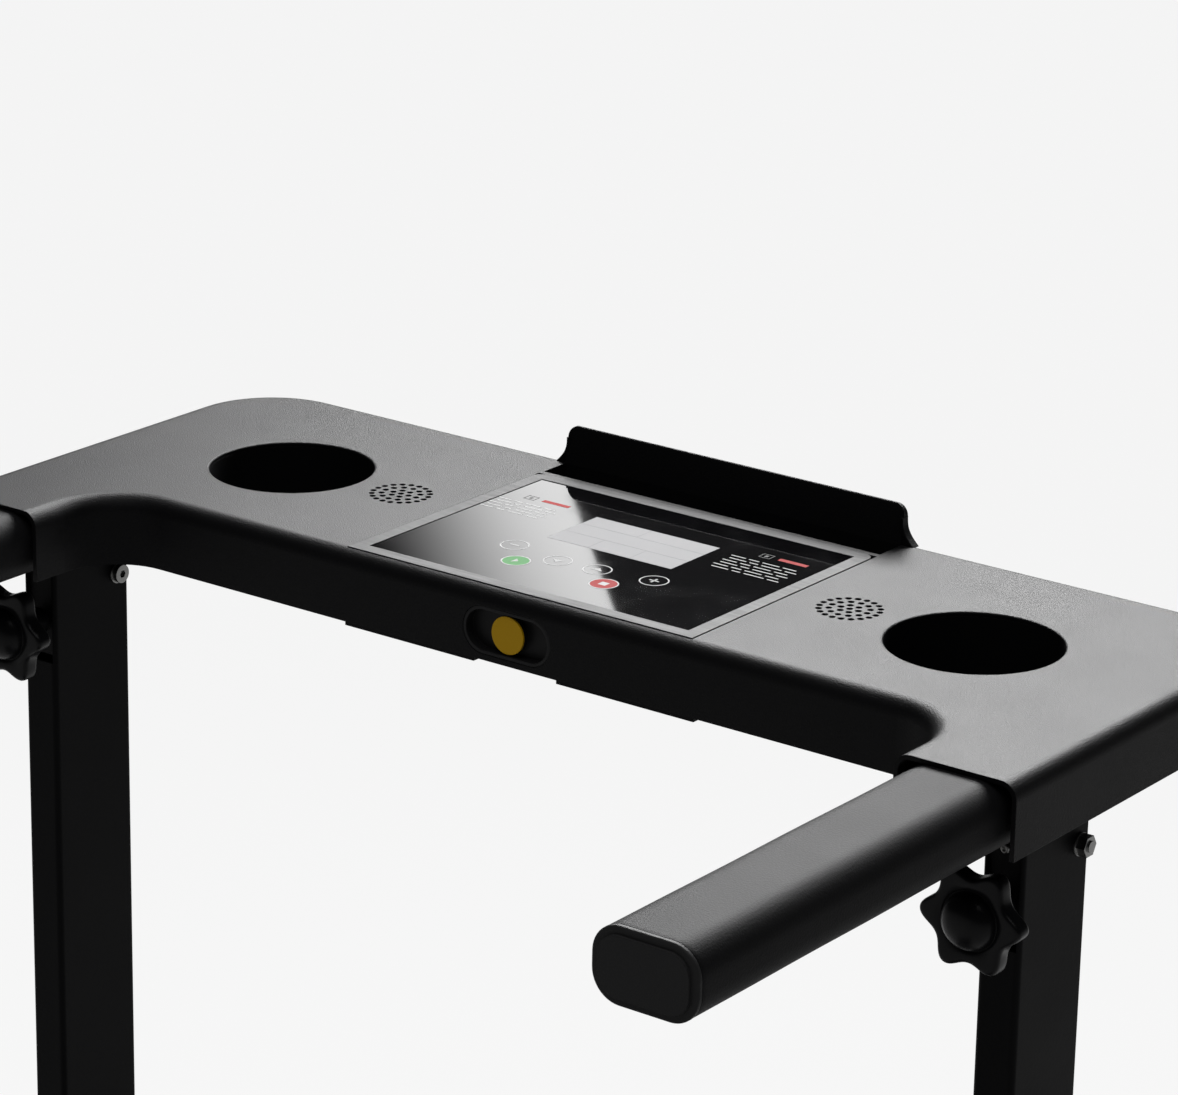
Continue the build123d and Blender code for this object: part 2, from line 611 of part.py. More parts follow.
# signal cable inside the right post, straight between its two connectors
with BuildPart() as post_cable:
    cable_top = DESK_TOP + TONGUE_BOTTOM - 20
    cable_bottom = HINGE_HEIGHT + 30
    rod("Z", (POST_X, POST_Y + 12, (cable_top + cable_bottom) / 2), 2.5, cable_top - cable_bottom)
    for z_plug in (cable_top - 9, cable_bottom + 9):
        block((POST_X - 5, POST_X + 5), (POST_Y + 6, POST_Y + 18), (z_plug - 9, z_plug + 9))
post_cable.part.label = "post_cable"
export_step(post_cable.part, "parts/post_cable.step")

# ---------------------------------------------------------------- base: frame
rail_rear = -BASE_HALF_LENGTH + 12
rail_front = 655.0
with BuildPart() as frame_rails:
    for side, sign in SIDES:
        x_outer = mirrored((RAIL_X - RAIL_WIDTH / 2, RAIL_X + RAIL_WIDTH / 2), sign)
        x_inner = (x_outer[0] + TUBE_WALL, x_outer[1] - TUBE_WALL)
        block(x_outer, (rail_rear, rail_front), (RAIL_BOTTOM, RAIL_TOP))
        block(
            x_inner,
            (rail_rear + TUBE_WALL, rail_front - TUBE_WALL),
            (RAIL_BOTTOM + TUBE_WALL, RAIL_TOP - TUBE_WALL),
            Mode.SUBTRACT,
        )
        for y_axle in (FRONT_ROLLER_Y, REAR_ROLLER_Y):
            rod("X", (sign * RAIL_X, y_axle, ROLLER_Z), 6, 40, Mode.SUBTRACT)
        rod("Y", (sign * RAIL_X, rail_rear, ROLLER_Z), 4, 10, Mode.SUBTRACT)
frame_rails.part.label = "frame_rails"
export_step(frame_rails.part, "parts/frame_rails.step")

CROSS_TUBE_Y = (-520.0, -270.0, -20.0, 230.0)
tube_end = RAIL_X - RAIL_WIDTH / 2
BEAM_TOP = RAIL_BOTTOM
BEAM_BOTTOM = 15.0
BEAMS = ((-570.0, 238.0), (POST_Y, 330.0), (600.0, 238.0))
with BuildPart() as frame_cross_tubes:
    for y_tube in CROSS_TUBE_Y:
        block((-tube_end, tube_end), (y_tube - 15, y_tube + 15), (62, 80))
        block((-tube_end, tube_end), (y_tube - 13, y_tube + 13), (64, 78), Mode.SUBTRACT)
    # straps that carry the motor
    block((-tube_end, tube_end), (402, 428), (42, 50))
    block((-tube_end, tube_end), (520, 546), (42, 50))
    # beams under the rails, the middle one as long as the posts are apart
    for y_beam, half_length in BEAMS:
        block((-half_length, half_length), (y_beam - 20, y_beam + 20), (BEAM_BOTTOM, BEAM_TOP))
        block(
            (-half_length + 2, half_length - 2),
            (y_beam - 18, y_beam + 18),
            (BEAM_BOTTOM + 2, BEAM_TOP - 2),
            Mode.SUBTRACT,
        )
frame_cross_tubes.part.label = "frame_cross_tubes"
export_step(frame_cross_tubes.part, "parts/frame_cross_tubes.step")

with BuildPart() as feet:
    for y_beam, half_length in BEAMS:
        for side, sign in SIDES:
            x_foot = sign * (half_length - 22)
            rod("Z", (x_foot, y_beam, BEAM_BOTTOM / 2), 17, BEAM_BOTTOM)
    fillet(feet.edges().filter_by(GeomType.CIRCLE).group_by(Axis.Z)[0], 2)
feet.part.label = "feet"
export_step(feet.part, "parts/feet.step")

# ---------------------------------------------------------------- base: post hinges
PLATE_GAP = POST_WIDTH / 2 + 0.8
PLATE = 3.0
LOCK_Z = HINGE_HEIGHT + 30
LOCK_Y = POST_Y + 8
with BuildPart() as hinge_brackets:
    for side, sign in SIDES:
        for offset_x in (-PLATE_GAP - PLATE, PLATE_GAP):
            x_limits = (sign * POST_X + offset_x, sign * POST_X + offset_x + PLATE)
            block(x_limits, (POST_Y - 36, POST_Y + 36), (BEAM_TOP, HINGE_HEIGHT + 48))
    fillet(hinge_brackets.edges().filter_by(Axis.X).group_by(Axis.Z)[-1], 16)
    for side, sign in SIDES:
        x_floor = (sign * POST_X - PLATE_GAP, sign * POST_X + PLATE_GAP)
        block(x_floor, (POST_Y - 36, POST_Y + 36), (BEAM_TOP, BEAM_TOP + 4))
        # stop bar that the upright post leans on
        y_stop = DESK_Y + POST_REAR + 0.2
        block(x_floor, (y_stop, POST_Y + 36), (HINGE_HEIGHT + 32, HINGE_HEIGHT + 38))
        rod("X", (sign * POST_X, POST_Y, HINGE_HEIGHT), 5 + RUNNING, 60, Mode.SUBTRACT)
        # welded nut for the locking knob
        x_outer = sign * (POST_X + PLATE_GAP + PLATE)
        hexagon("X", (x_outer + sign * 3, LOCK_Y, LOCK_Z), 13, 6)
        rod("X", (x_outer + sign, LOCK_Y, LOCK_Z), 4 + RUNNING, 16, Mode.SUBTRACT)
hinge_brackets.part.label = "hinge_brackets"
export_step(hinge_brackets.part, "parts/hinge_brackets.step")

for side, sign in SIDES:
    x_tip = sign * (POST_X + POST_WIDTH / 2 + 0.3)
    x_knob = sign * (POST_X + PLATE_GAP + PLATE + 7)
    lock_plane = Plane(origin=(x_knob, LOCK_Y, LOCK_Z), x_dir=(0, 1, 0), z_dir=(sign, 0, 0))
    with BuildPart() as lock_knob:
        with BuildSketch(lock_plane):
            Circle(15)
            with PolarLocations(15, 5):
                Circle(6)
        extrude(amount=13)
        fillet(lock_knob.faces().sort_by(Axis.X)[-1 if sign > 0 else 0].edges(), 2)
        stud_length = abs(x_knob - x_tip) + 6
        rod("X", (x_tip + sign * stud_length / 2, LOCK_Y, LOCK_Z), 4, stud_length)
    lock_knob.part.label = "lock_knob_" + side
    export_step(lock_knob.part, "parts/lock_knob_" + side + ".step")

with BuildPart() as hinge_bolts:
    for side, sign in SIDES:
        half_grip = PLATE_GAP + PLATE
        rod("X", (sign * POST_X, POST_Y, HINGE_HEIGHT), 5, 2 * half_grip + 16)
        for end, shape in ((-1, "head"), (1, "nut")):
            x_end = sign * POST_X + sign * end * (half_grip + 4)
            hexagon("X", (x_end, POST_Y, HINGE_HEIGHT), 16, 8 if shape == "nut" else 6.4)
            x_washer = sign * POST_X + sign * end * (half_grip + 0.8)
            rod("X", (x_washer, POST_Y, HINGE_HEIGHT), 10, 1.6)
hinge_bolts.part.label = "hinge_bolts"
export_step(hinge_bolts.part, "parts/hinge_bolts.step")

# ---------------------------------------------------------------- base: walking surface
board_front = FRONT_ROLLER_Y - 35
board_rear = REAR_ROLLER_Y + 27
with BuildPart() as running_board:
    board_half = tube_end - 2
    block((-board_half, board_half), (board_rear, board_front), (BOARD_TOP - BOARD_THICKNESS, BOARD_TOP))
    fillet(running_board.edges().filter_by(Axis.X).group_by(Axis.Z)[-1], 4)
running_board.part.label = "running_board"
export_step(running_board.part, "parts/running_board.step")

with BuildPart() as board_cushions:
    for y_tube in CROSS_TUBE_Y:
        for x_pad in (-165, 0, 165):
            block((x_pad - 20, x_pad + 20), (y_tube - 12, y_tube + 12), (80, BOARD_TOP - BOARD_THICKNESS))
board_cushions.part.label = "board_cushions"
export_step(board_cushions.part, "parts/board_cushions.step")

roller_front = (FRONT_ROLLER_Y, ROLLER_Z)
roller_rear = (REAR_ROLLER_Y, ROLLER_Z)
with BuildPart() as walking_belt:
    inner_r = ROLLER_R + ROLLING_GAP
    with BuildSketch(Plane.YZ.offset(-BELT_HALF_WIDTH)):
        belt_loop(roller_front, roller_rear, inner_r + BELT_THICKNESS, inner_r + BELT_THICKNESS)
    extrude(amount=2 * BELT_HALF_WIDTH)
    with BuildSketch(Plane.YZ.offset(-BELT_HALF_WIDTH - 1)):
        belt_loop(roller_front, roller_rear, inner_r, inner_r)
    extrude(amount=2 * BELT_HALF_WIDTH + 2, mode=Mode.SUBTRACT)
walking_belt.part.label = "walking_belt"
export_step(walking_belt.part, "parts/walking_belt.step")

for side, sign in SIDES:
    with BuildPart() as foot_rail:
        y_limits = (-BASE_HALF_LENGTH + 62, FOOT_RAIL_FRONT)
        block(mirrored((FOOT_RAIL_INNER, BASE_HALF_WIDTH), sign), y_limits, (48, FOOT_RAIL_TOP))
        outer_top = foot_rail.edges().filter_by(Axis.Y).group_by(Axis.Z)[-1]
        fillet(outer_top.sort_by(Axis.X)[-1 if sign > 0 else 0], 8)
        inner_x = mirrored((FOOT_RAIL_INNER - 1, BASE_HALF_WIDTH - 3), sign)
        block(inner_x, (y_limits[0] - 1, y_limits[1] + 1), (40, FOOT_RAIL_TOP - 4), Mode.SUBTRACT)
        block(
            mirrored((FOOT_RAIL_INNER, FOOT_RAIL_INNER + 3), sign), y_limits, (104.5, FOOT_RAIL_TOP - 4)
        )
        # clip ledge that rests on the frame rail
        block(
            mirrored((RAIL_X - 4, RAIL_X + 4), sign), y_limits, (RAIL_TOP, FOOT_RAIL_TOP - 4)
        )
        for groove in range(5):
            x_groove = sign * (FOOT_RAIL_INNER + 14 + 11 * groove)
            block(
                (x_groove - 1.5, x_groove + 1.5),
                (y_limits[0] - 1, y_limits[1] + 1),
                (FOOT_RAIL_TOP - 1, FOOT_RAIL_TOP + 1),
                Mode.SUBTRACT,
            )
    foot_rail.part.label = "foot_rail_" + side
    export_step(foot_rail.part, "parts/foot_rail_" + side + ".step")

with BuildPart() as rear_caps:
    for side, sign in SIDES:
        x_limits = mirrored((FOOT_RAIL_INNER + 2, BASE_HALF_WIDTH), sign)
        block(x_limits, (-BASE_HALF_LENGTH, -BASE_HALF_LENGTH + 61), (42, FOOT_RAIL_TOP))
        side_edges = rear_caps.edges().filter_by(Axis.Z).group_by(Axis.Y)[0]
        fillet(side_edges.sort_by(Axis.X)[-1 if sign > 0 else 0], 22)
        hollow_x = mirrored((FOOT_RAIL_INNER + 5, BASE_HALF_WIDTH - 3), sign)
        hollow_y = (-BASE_HALF_LENGTH + 10, -BASE_HALF_LENGTH + 62)
        block(hollow_x, hollow_y, (41, FOOT_RAIL_TOP - 4), Mode.SUBTRACT)
        # way through for the roller's axle and the tension bolt
        block(
            mirrored((FOOT_RAIL_INNER + 1, FOOT_RAIL_INNER + 6), sign),
            (REAR_ROLLER_Y - 12, -BASE_HALF_LENGTH + 62),
            (41, FOOT_RAIL_TOP - 10),
            Mode.SUBTRACT,
        )
        rod("Y", (sign * RAIL_X, -BASE_HALF_LENGTH + 5, ROLLER_Z), 6, 12, Mode.SUBTRACT)
rear_caps.part.label = "rear_caps"
export_step(rear_caps.part, "parts/rear_caps.step")

# ---------------------------------------------------------------- base: rollers and drive
ROLLERS = (("front", FRONT_ROLLER_Y), ("rear", REAR_ROLLER_Y))
roller_half = BELT_HALF_WIDTH + 1
for name, y_roller in ROLLERS:
    with BuildPart() as roller:
        rod("X", (0, y_roller, ROLLER_Z), ROLLER_R, 2 * roller_half)
        rod("X", (0, y_roller, ROLLER_Z), ROLLER_R - 3, 2 * roller_half + 2, Mode.SUBTRACT)
        for side, sign in SIDES:
            rod("X", (sign * (roller_half - 8), y_roller, ROLLER_Z), ROLLER_R - 2, 16)
            rod("X", (sign * (roller_half - 5.5), y_roller, ROLLER_Z), 14 + RUNNING, 11, Mode.SUBTRACT)
        if name == "front":
            rod("X", (PULLEY_X, y_roller, ROLLER_Z), ROLLER_PULLEY_R, PULLEY_WIDTH)
            rod("X", (PULLEY_X + 7.5, y_roller, ROLLER_Z), ROLLER_R, 4)
        rod("X", (0, y_roller, ROLLER_Z), 7, 2 * roller_half + 60, Mode.SUBTRACT)
        if name == "front":
            rod("X", (-roller_half + 3.5, y_roller, ROLLER_Z), 14 + RUNNING, 15, Mode.SUBTRACT)
    roller.part.label = name + "_roller"
    export_step(roller.part, "parts/" + name + "_roller.step")

with BuildPart() as roller_axles:
    for name, y_roller in ROLLERS:
        rod("X", (0, y_roller, ROLLER_Z), 6, 2 * (RAIL_X + 8))
roller_axles.part.label = "roller_axles"
export_step(roller_axles.part, "parts/roller_axles.step")

with BuildPart() as roller_bearings:
    for name, y_roller in ROLLERS:
        for side, sign in SIDES:
            rod("X", (sign * (roller_half - 5.5), y_roller, ROLLER_Z), 14, 10)
            rod("X", (sign * (roller_half - 5.5), y_roller, ROLLER_Z), 6 + RUNNING, 12, Mode.SUBTRACT)
roller_bearings.part.label = "roller_bearings"
export_step(roller_bearings.part, "parts/roller_bearings.step")

with BuildPart() as tension_bolts:
    for side, sign in SIDES:
        bolt_tip = REAR_ROLLER_Y - 6.0
        bolt_end = rail_rear - 8
        rod("Y", (sign * RAIL_X, (bolt_tip + bolt_end) / 2, ROLLER_Z), 3.9, bolt_tip - bolt_end)
        rod("Y", (sign * RAIL_X, rail_rear - 4, ROLLER_Z), 5.8, 8)
        hexagon("Y", (sign * RAIL_X, rail_rear - 7, ROLLER_Z), 5, 4, Mode.SUBTRACT)
tension_bolts.part.label = "tension_bolts"
export_step(tension_bolts.part, "parts/tension_bolts.step")

motor_centre = (0, MOTOR_Y, MOTOR_Z)
with BuildPart() as motor:
    # two straps with feet on the frame, then the can inside them
    for x_foot in (-160, -76):
        rod("X", (x_foot, MOTOR_Y, MOTOR_Z), MOTOR_R + 3, 6)
        block((x_foot - 3, x_foot + 3), (415, 533), (50, 58))
        for y_foot in (415, 533):
            block((x_foot - 8, x_foot + 8), (y_foot - 10, y_foot + 10), (50, 54))
    rod("X", (-118, MOTOR_Y, MOTOR_Z), MOTOR_R, 116)
    rod("X", (-118, MOTOR_Y, MOTOR_Z), MOTOR_R - 4, 108, Mode.SUBTRACT)
    rod("X", (-118, MOTOR_Y, MOTOR_Z), 6 + RUNNING, 130, Mode.SUBTRACT)
motor.part.label = "motor"
export_step(motor.part, "parts/motor.step")

with BuildPart() as motor_rotor:
    rod("X", (-123, MOTOR_Y, MOTOR_Z), 6, 168)
    rod("X", (-118, MOTOR_Y, MOTOR_Z), MOTOR_R - 8, 80)
    rod("X", (PULLEY_X, MOTOR_Y, MOTOR_Z), MOTOR_PULLEY_R, PULLEY_WIDTH)
    rod("X", (-46, MOTOR_Y, MOTOR_Z), MOTOR_R - 2, 14)
motor_rotor.part.label = "motor_rotor"
export_step(motor_rotor.part, "parts/motor_rotor.step")

with BuildPart() as drive_belt:
    motor_axis = (MOTOR_Y, MOTOR_Z)
    gap_front = ROLLER_PULLEY_R + ROLLING_GAP
    gap_motor = MOTOR_PULLEY_R + ROLLING_GAP
    with BuildSketch(Plane.YZ.offset(PULLEY_X - 5)):
        belt_loop(roller_front, motor_axis, gap_front + 2.5, gap_motor + 2.5)
    extrude(amount=10)
    with BuildSketch(Plane.YZ.offset(PULLEY_X - 6)):
        belt_loop(roller_front, motor_axis, gap_front, gap_motor)
    extrude(amount=12, mode=Mode.SUBTRACT)
drive_belt.part.label = "drive_belt"
export_step(drive_belt.part, "parts/drive_belt.step")

with BuildPart() as controller:
    block((30, 190), (396, 552), (50, 56))
    for fin in range(12):
        x_fin = 36 + fin * 13.4
        block((x_fin, x_fin + 2), (400, 470), (56, 78))
    block((34, 186), (476, 548), (56, 58))
    block((50, 86), (484, 520), (58, 84))
    for x_cap in (110, 136, 162):
        rod("Z", (x_cap, 510, 74), 10, 32)
controller.part.label = "controller"
export_step(controller.part, "parts/controller.step")

# ---------------------------------------------------------------- base: hood and power entry
HOOD_FRONT = BASE_HALF_LENGTH
INLET_X = 150.0
INLET_Z = 66.0
WINDOW_HALF = (62.0, 18.0)


def hood_profile(inset):
    """Side view of the hood (Y, Z), drawn smaller by the inset."""
    with BuildSketch() as profile:
        with BuildLine():
            FilletPolyline(
                (HOOD_REAR + inset, 44),
                (HOOD_REAR + inset, 118 - inset),
                (HOOD_REAR + 34, HOOD_TOP - inset),
                (HOOD_FRONT - 96, HOOD_TOP - inset),
                (HOOD_FRONT - inset, 104 - inset / 2),
                (HOOD_FRONT - inset, 44),
                radius=(0, 8, 24, 60, 18, 0),
                close=True,
            )
        make_face()
    return profile.sketch


with BuildPart() as motor_hood:
    with BuildSketch(Plane.YZ.offset(-BASE_HALF_WIDTH)):
        add(hood_profile(0))
    extrude(amount=2 * BASE_HALF_WIDTH)
    hood_inner = BASE_HALF_WIDTH - HOOD_WALL
    with BuildSketch(Plane.YZ.offset(-hood_inner)):
        add(hood_profile(HOOD_WALL))
    extrude(amount=2 * hood_inner, mode=Mode.SUBTRACT)
    # mouth that the walking belt runs into, and the window of the power entry
    block(
        (-FOOT_RAIL_INNER - 15, FOOT_RAIL_INNER + 15), (HOOD_REAR - 1, HOOD_REAR + 8), (43, 106), Mode.SUBTRACT
    )
    for side, sign in SIDES:
        block(
            mirrored((FOOT_RAIL_INNER, RAIL_X + 14), sign),
            (HOOD_REAR - 1, HOOD_REAR + 8),
            (43, 94),
            Mode.SUBTRACT,
        )
    block(
        (INLET_X - WINDOW_HALF[0], INLET_X + WINDOW_HALF[0]),
        (HOOD_FRONT - 8, HOOD_FRONT + 1),
        (INLET_Z - WINDOW_HALF[1], INLET_Z + WINDOW_HALF[1]),
        Mode.SUBTRACT,
    )
motor_hood.part.label = "motor_hood"
export_step(motor_hood.part, "parts/motor_hood.step")

with BuildPart() as belly_pan:
    block((-tube_end + 0.5, tube_end - 0.5), (POST_Y + 24, 578), (40, 42))
    block((-tube_end + 0.5, tube_end - 0.5), (622, 672), (40, 42))
    for side, sign in SIDES:
        block(mirrored((WHEEL_X - 20, WHEEL_X + 20), sign), (610, 675), (39, 43), Mode.SUBTRACT)
belly_pan.part.label = "belly_pan"
export_step(belly_pan.part, "parts/belly_pan.step")

hood_inside = HOOD_FRONT - HOOD_WALL
panel_front = hood_inside - 3
panel_back = panel_front - 2
SWITCH_X = INLET_X - 2
BREAKER_X = INLET_X - 38
SOCKET_X = INLET_X + 34
TRUNNION_R = 1.5
with BuildPart() as inlet_panel:
    block(
        (INLET_X - WINDOW_HALF[0] - 5, INLET_X + WINDOW_HALF[0] + 5),
        (panel_back, hood_inside),
        (INLET_Z - WINDOW_HALF[1] - 4, INLET_Z + WINDOW_HALF[1] + 4),
    )
    block(
        (INLET_X - WINDOW_HALF[0], INLET_X + WINDOW_HALF[0]),
        (panel_front, hood_inside + 1),
        (INLET_Z - WINDOW_HALF[1], INLET_Z + WINDOW_HALF[1]),
        Mode.SUBTRACT,
    )
    block((SOCKET_X - 14, SOCKET_X + 14), (panel_back - 1, panel_front + 1), (INLET_Z - 10, INLET_Z + 10),
          Mode.SUBTRACT)
    block((SWITCH_X - 10, SWITCH_X + 10), (panel_back - 1, panel_front + 1), (INLET_Z - 14, INLET_Z + 14),
          Mode.SUBTRACT)
    rod("Y", (BREAKER_X, panel_back, INLET_Z), 8, 10, Mode.SUBTRACT)
inlet_panel.part.label = "inlet_panel"
export_step(inlet_panel.part, "parts/inlet_panel.step")

with BuildPart() as power_inlet:
    block((SOCKET_X - 13.9, SOCKET_X + 13.9), (panel_back - 20, panel_front + 1.5), (INLET_Z - 9.9, INLET_Z + 9.9))
    block((SOCKET_X - 12, SOCKET_X + 12), (panel_back - 14, panel_front + 3), (INLET_Z - 8, INLET_Z + 8),
          Mode.SUBTRACT)
    for x_pin, z_pin in ((-7, -1), (7, -1), (0, 3)):
        block(
            (SOCKET_X + x_pin - 1, SOCKET_X + x_pin + 1),
            (panel_back - 15, panel_back - 4),
            (INLET_Z + z_pin - 2, INLET_Z + z_pin + 2),
        )
power_inlet.part.label = "power_inlet"
export_step(power_inlet.part, "parts/power_inlet.step")

with BuildPart() as switch_body:
    block((SWITCH_X - 9.9, SWITCH_X + 9.9), (panel_back - 16, panel_front + 1), (INLET_Z - 13.9, INLET_Z + 13.9))
    block((SWITCH_X - 8, SWITCH_X + 8), (panel_back - 10, panel_front + 3), (INLET_Z - 12, INLET_Z + 12),
          Mode.SUBTRACT)
    rod("X", (SWITCH_X, panel_front - 3, INLET_Z), TRUNNION_R + RUNNING, 30, Mode.SUBTRACT)
    rod("Y", (BREAKER_X, panel_back - 6, INLET_Z), 7.9, 14)
    rod("Y", (BREAKER_X, panel_back - 3, INLET_Z), 5.3, 16, Mode.SUBTRACT)
switch_body.part.label = "switch_body"
export_step(switch_body.part, "parts/switch_body.step")

with BuildPart() as rocker:
    with BuildSketch(Plane.YZ.offset(SWITCH_X - 7.6)):
        with BuildLine():
            Polyline(
                (panel_front - 7, INLET_Z - 6),
                (panel_front + 0.2, INLET_Z - 10.8),
                (panel_front + 1, INLET_Z),
                (panel_front + 3.6, INLET_Z + 10.6),
                (panel_front - 7, INLET_Z + 6),
                close=True,
            )
        make_face()
    extrude(amount=15.2)
    rod("X", (SWITCH_X, panel_front - 3, INLET_Z), TRUNNION_R, 19)
rocker.part.label = "rocker"
export_step(rocker.part, "parts/rocker.step")

with BuildPart() as breaker_button:
    rod("Y", (BREAKER_X, panel_front - 1, INLET_Z), 5, 12)
breaker_button.part.label = "breaker_button"
export_step(breaker_button.part, "parts/breaker_button.step")

# ---------------------------------------------------------------- transport wheels
with BuildPart() as wheel_forks:
    for side, sign in SIDES:
        x_wheel = sign * WHEEL_X
        for x_cheek in (x_wheel - 13, x_wheel + 13):
            block((x_cheek - 1.5, x_cheek + 1.5), (WHEEL_Y - 26, WHEEL_Y + 8), (16, 60))
        block((x_wheel - 14.5, x_wheel + 14.5), (WHEEL_Y - 26, WHEEL_Y + 8), (57, 60))
        rod("X", (x_wheel, WHEEL_Y, WHEEL_Z), 4, 36)
wheel_forks.part.label = "wheel_forks"
export_step(wheel_forks.part, "parts/wheel_forks.step")

for side, sign in SIDES:
    with BuildPart() as wheel:
        rod("X", (sign * WHEEL_X, WHEEL_Y, WHEEL_Z), WHEEL_R, 20)
        fillet(wheel.edges().filter_by(GeomType.CIRCLE), 3)
        rod("X", (sign * WHEEL_X, WHEEL_Y, WHEEL_Z), 4 + RUNNING, 30, Mode.SUBTRACT)
    wheel.part.label = "transport_wheel_" + side
    export_step(wheel.part, "parts/transport_wheel_" + side + ".step")
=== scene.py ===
"""Looks of the folding treadmill: materials, added pieces, camera, light and floor round the CAD frame."""
import json
import math

import bmesh
import bpy
from mathutils import Matrix, Vector


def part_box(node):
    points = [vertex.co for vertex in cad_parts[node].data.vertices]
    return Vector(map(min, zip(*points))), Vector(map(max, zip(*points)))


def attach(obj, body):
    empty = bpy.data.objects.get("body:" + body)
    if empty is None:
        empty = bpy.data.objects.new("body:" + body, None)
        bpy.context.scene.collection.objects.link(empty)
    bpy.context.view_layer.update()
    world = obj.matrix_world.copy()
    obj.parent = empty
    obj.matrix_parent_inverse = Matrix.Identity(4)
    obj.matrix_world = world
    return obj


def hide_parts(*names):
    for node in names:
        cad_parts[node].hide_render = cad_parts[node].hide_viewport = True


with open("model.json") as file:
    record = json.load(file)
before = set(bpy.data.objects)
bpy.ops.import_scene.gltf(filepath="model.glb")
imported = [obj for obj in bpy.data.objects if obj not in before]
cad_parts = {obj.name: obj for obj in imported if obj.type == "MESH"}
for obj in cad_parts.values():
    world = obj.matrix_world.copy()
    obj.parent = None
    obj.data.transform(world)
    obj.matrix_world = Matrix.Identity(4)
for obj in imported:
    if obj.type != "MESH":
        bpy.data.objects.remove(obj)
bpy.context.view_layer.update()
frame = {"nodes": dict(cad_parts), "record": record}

MM = 0.001
TURN = 2 * math.pi
SIDES = {"left": -1, "right": 1}

# Places on the desk are given from the middle of the panel's front edge, on the desk top
PANEL_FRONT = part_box("panel_bezel")[0].y
DESK_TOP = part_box("desk_top_shell")[1].z

# ---------------------------------------------------------------- materials
# Sockets of a Mix node that is set to colours
MIX_FACTOR, MIX_COLOURS, MIX_RESULT = 0, (6, 7), 2
# Scales of a texture along its axes; a small one draws it out that way
EVEN = (1, 1, 1)
MIRRORED = (-1, 1, 1)
TURNED_ROUND_X = (1, 0.05, 0.05)
GLOSS_STREAKS_ALONG_X = (0.06, 1, 1)
BRUSHED_ALONG_X = (0.04, 1, 1)
FIBRES_ALONG_Y = (1, 0.08, 1)
SCUFFS_ALONG_Y = (3, 0.6, 1)
WEAVE_SCALE = 60.0
WHITE = (1, 1, 1, 1)


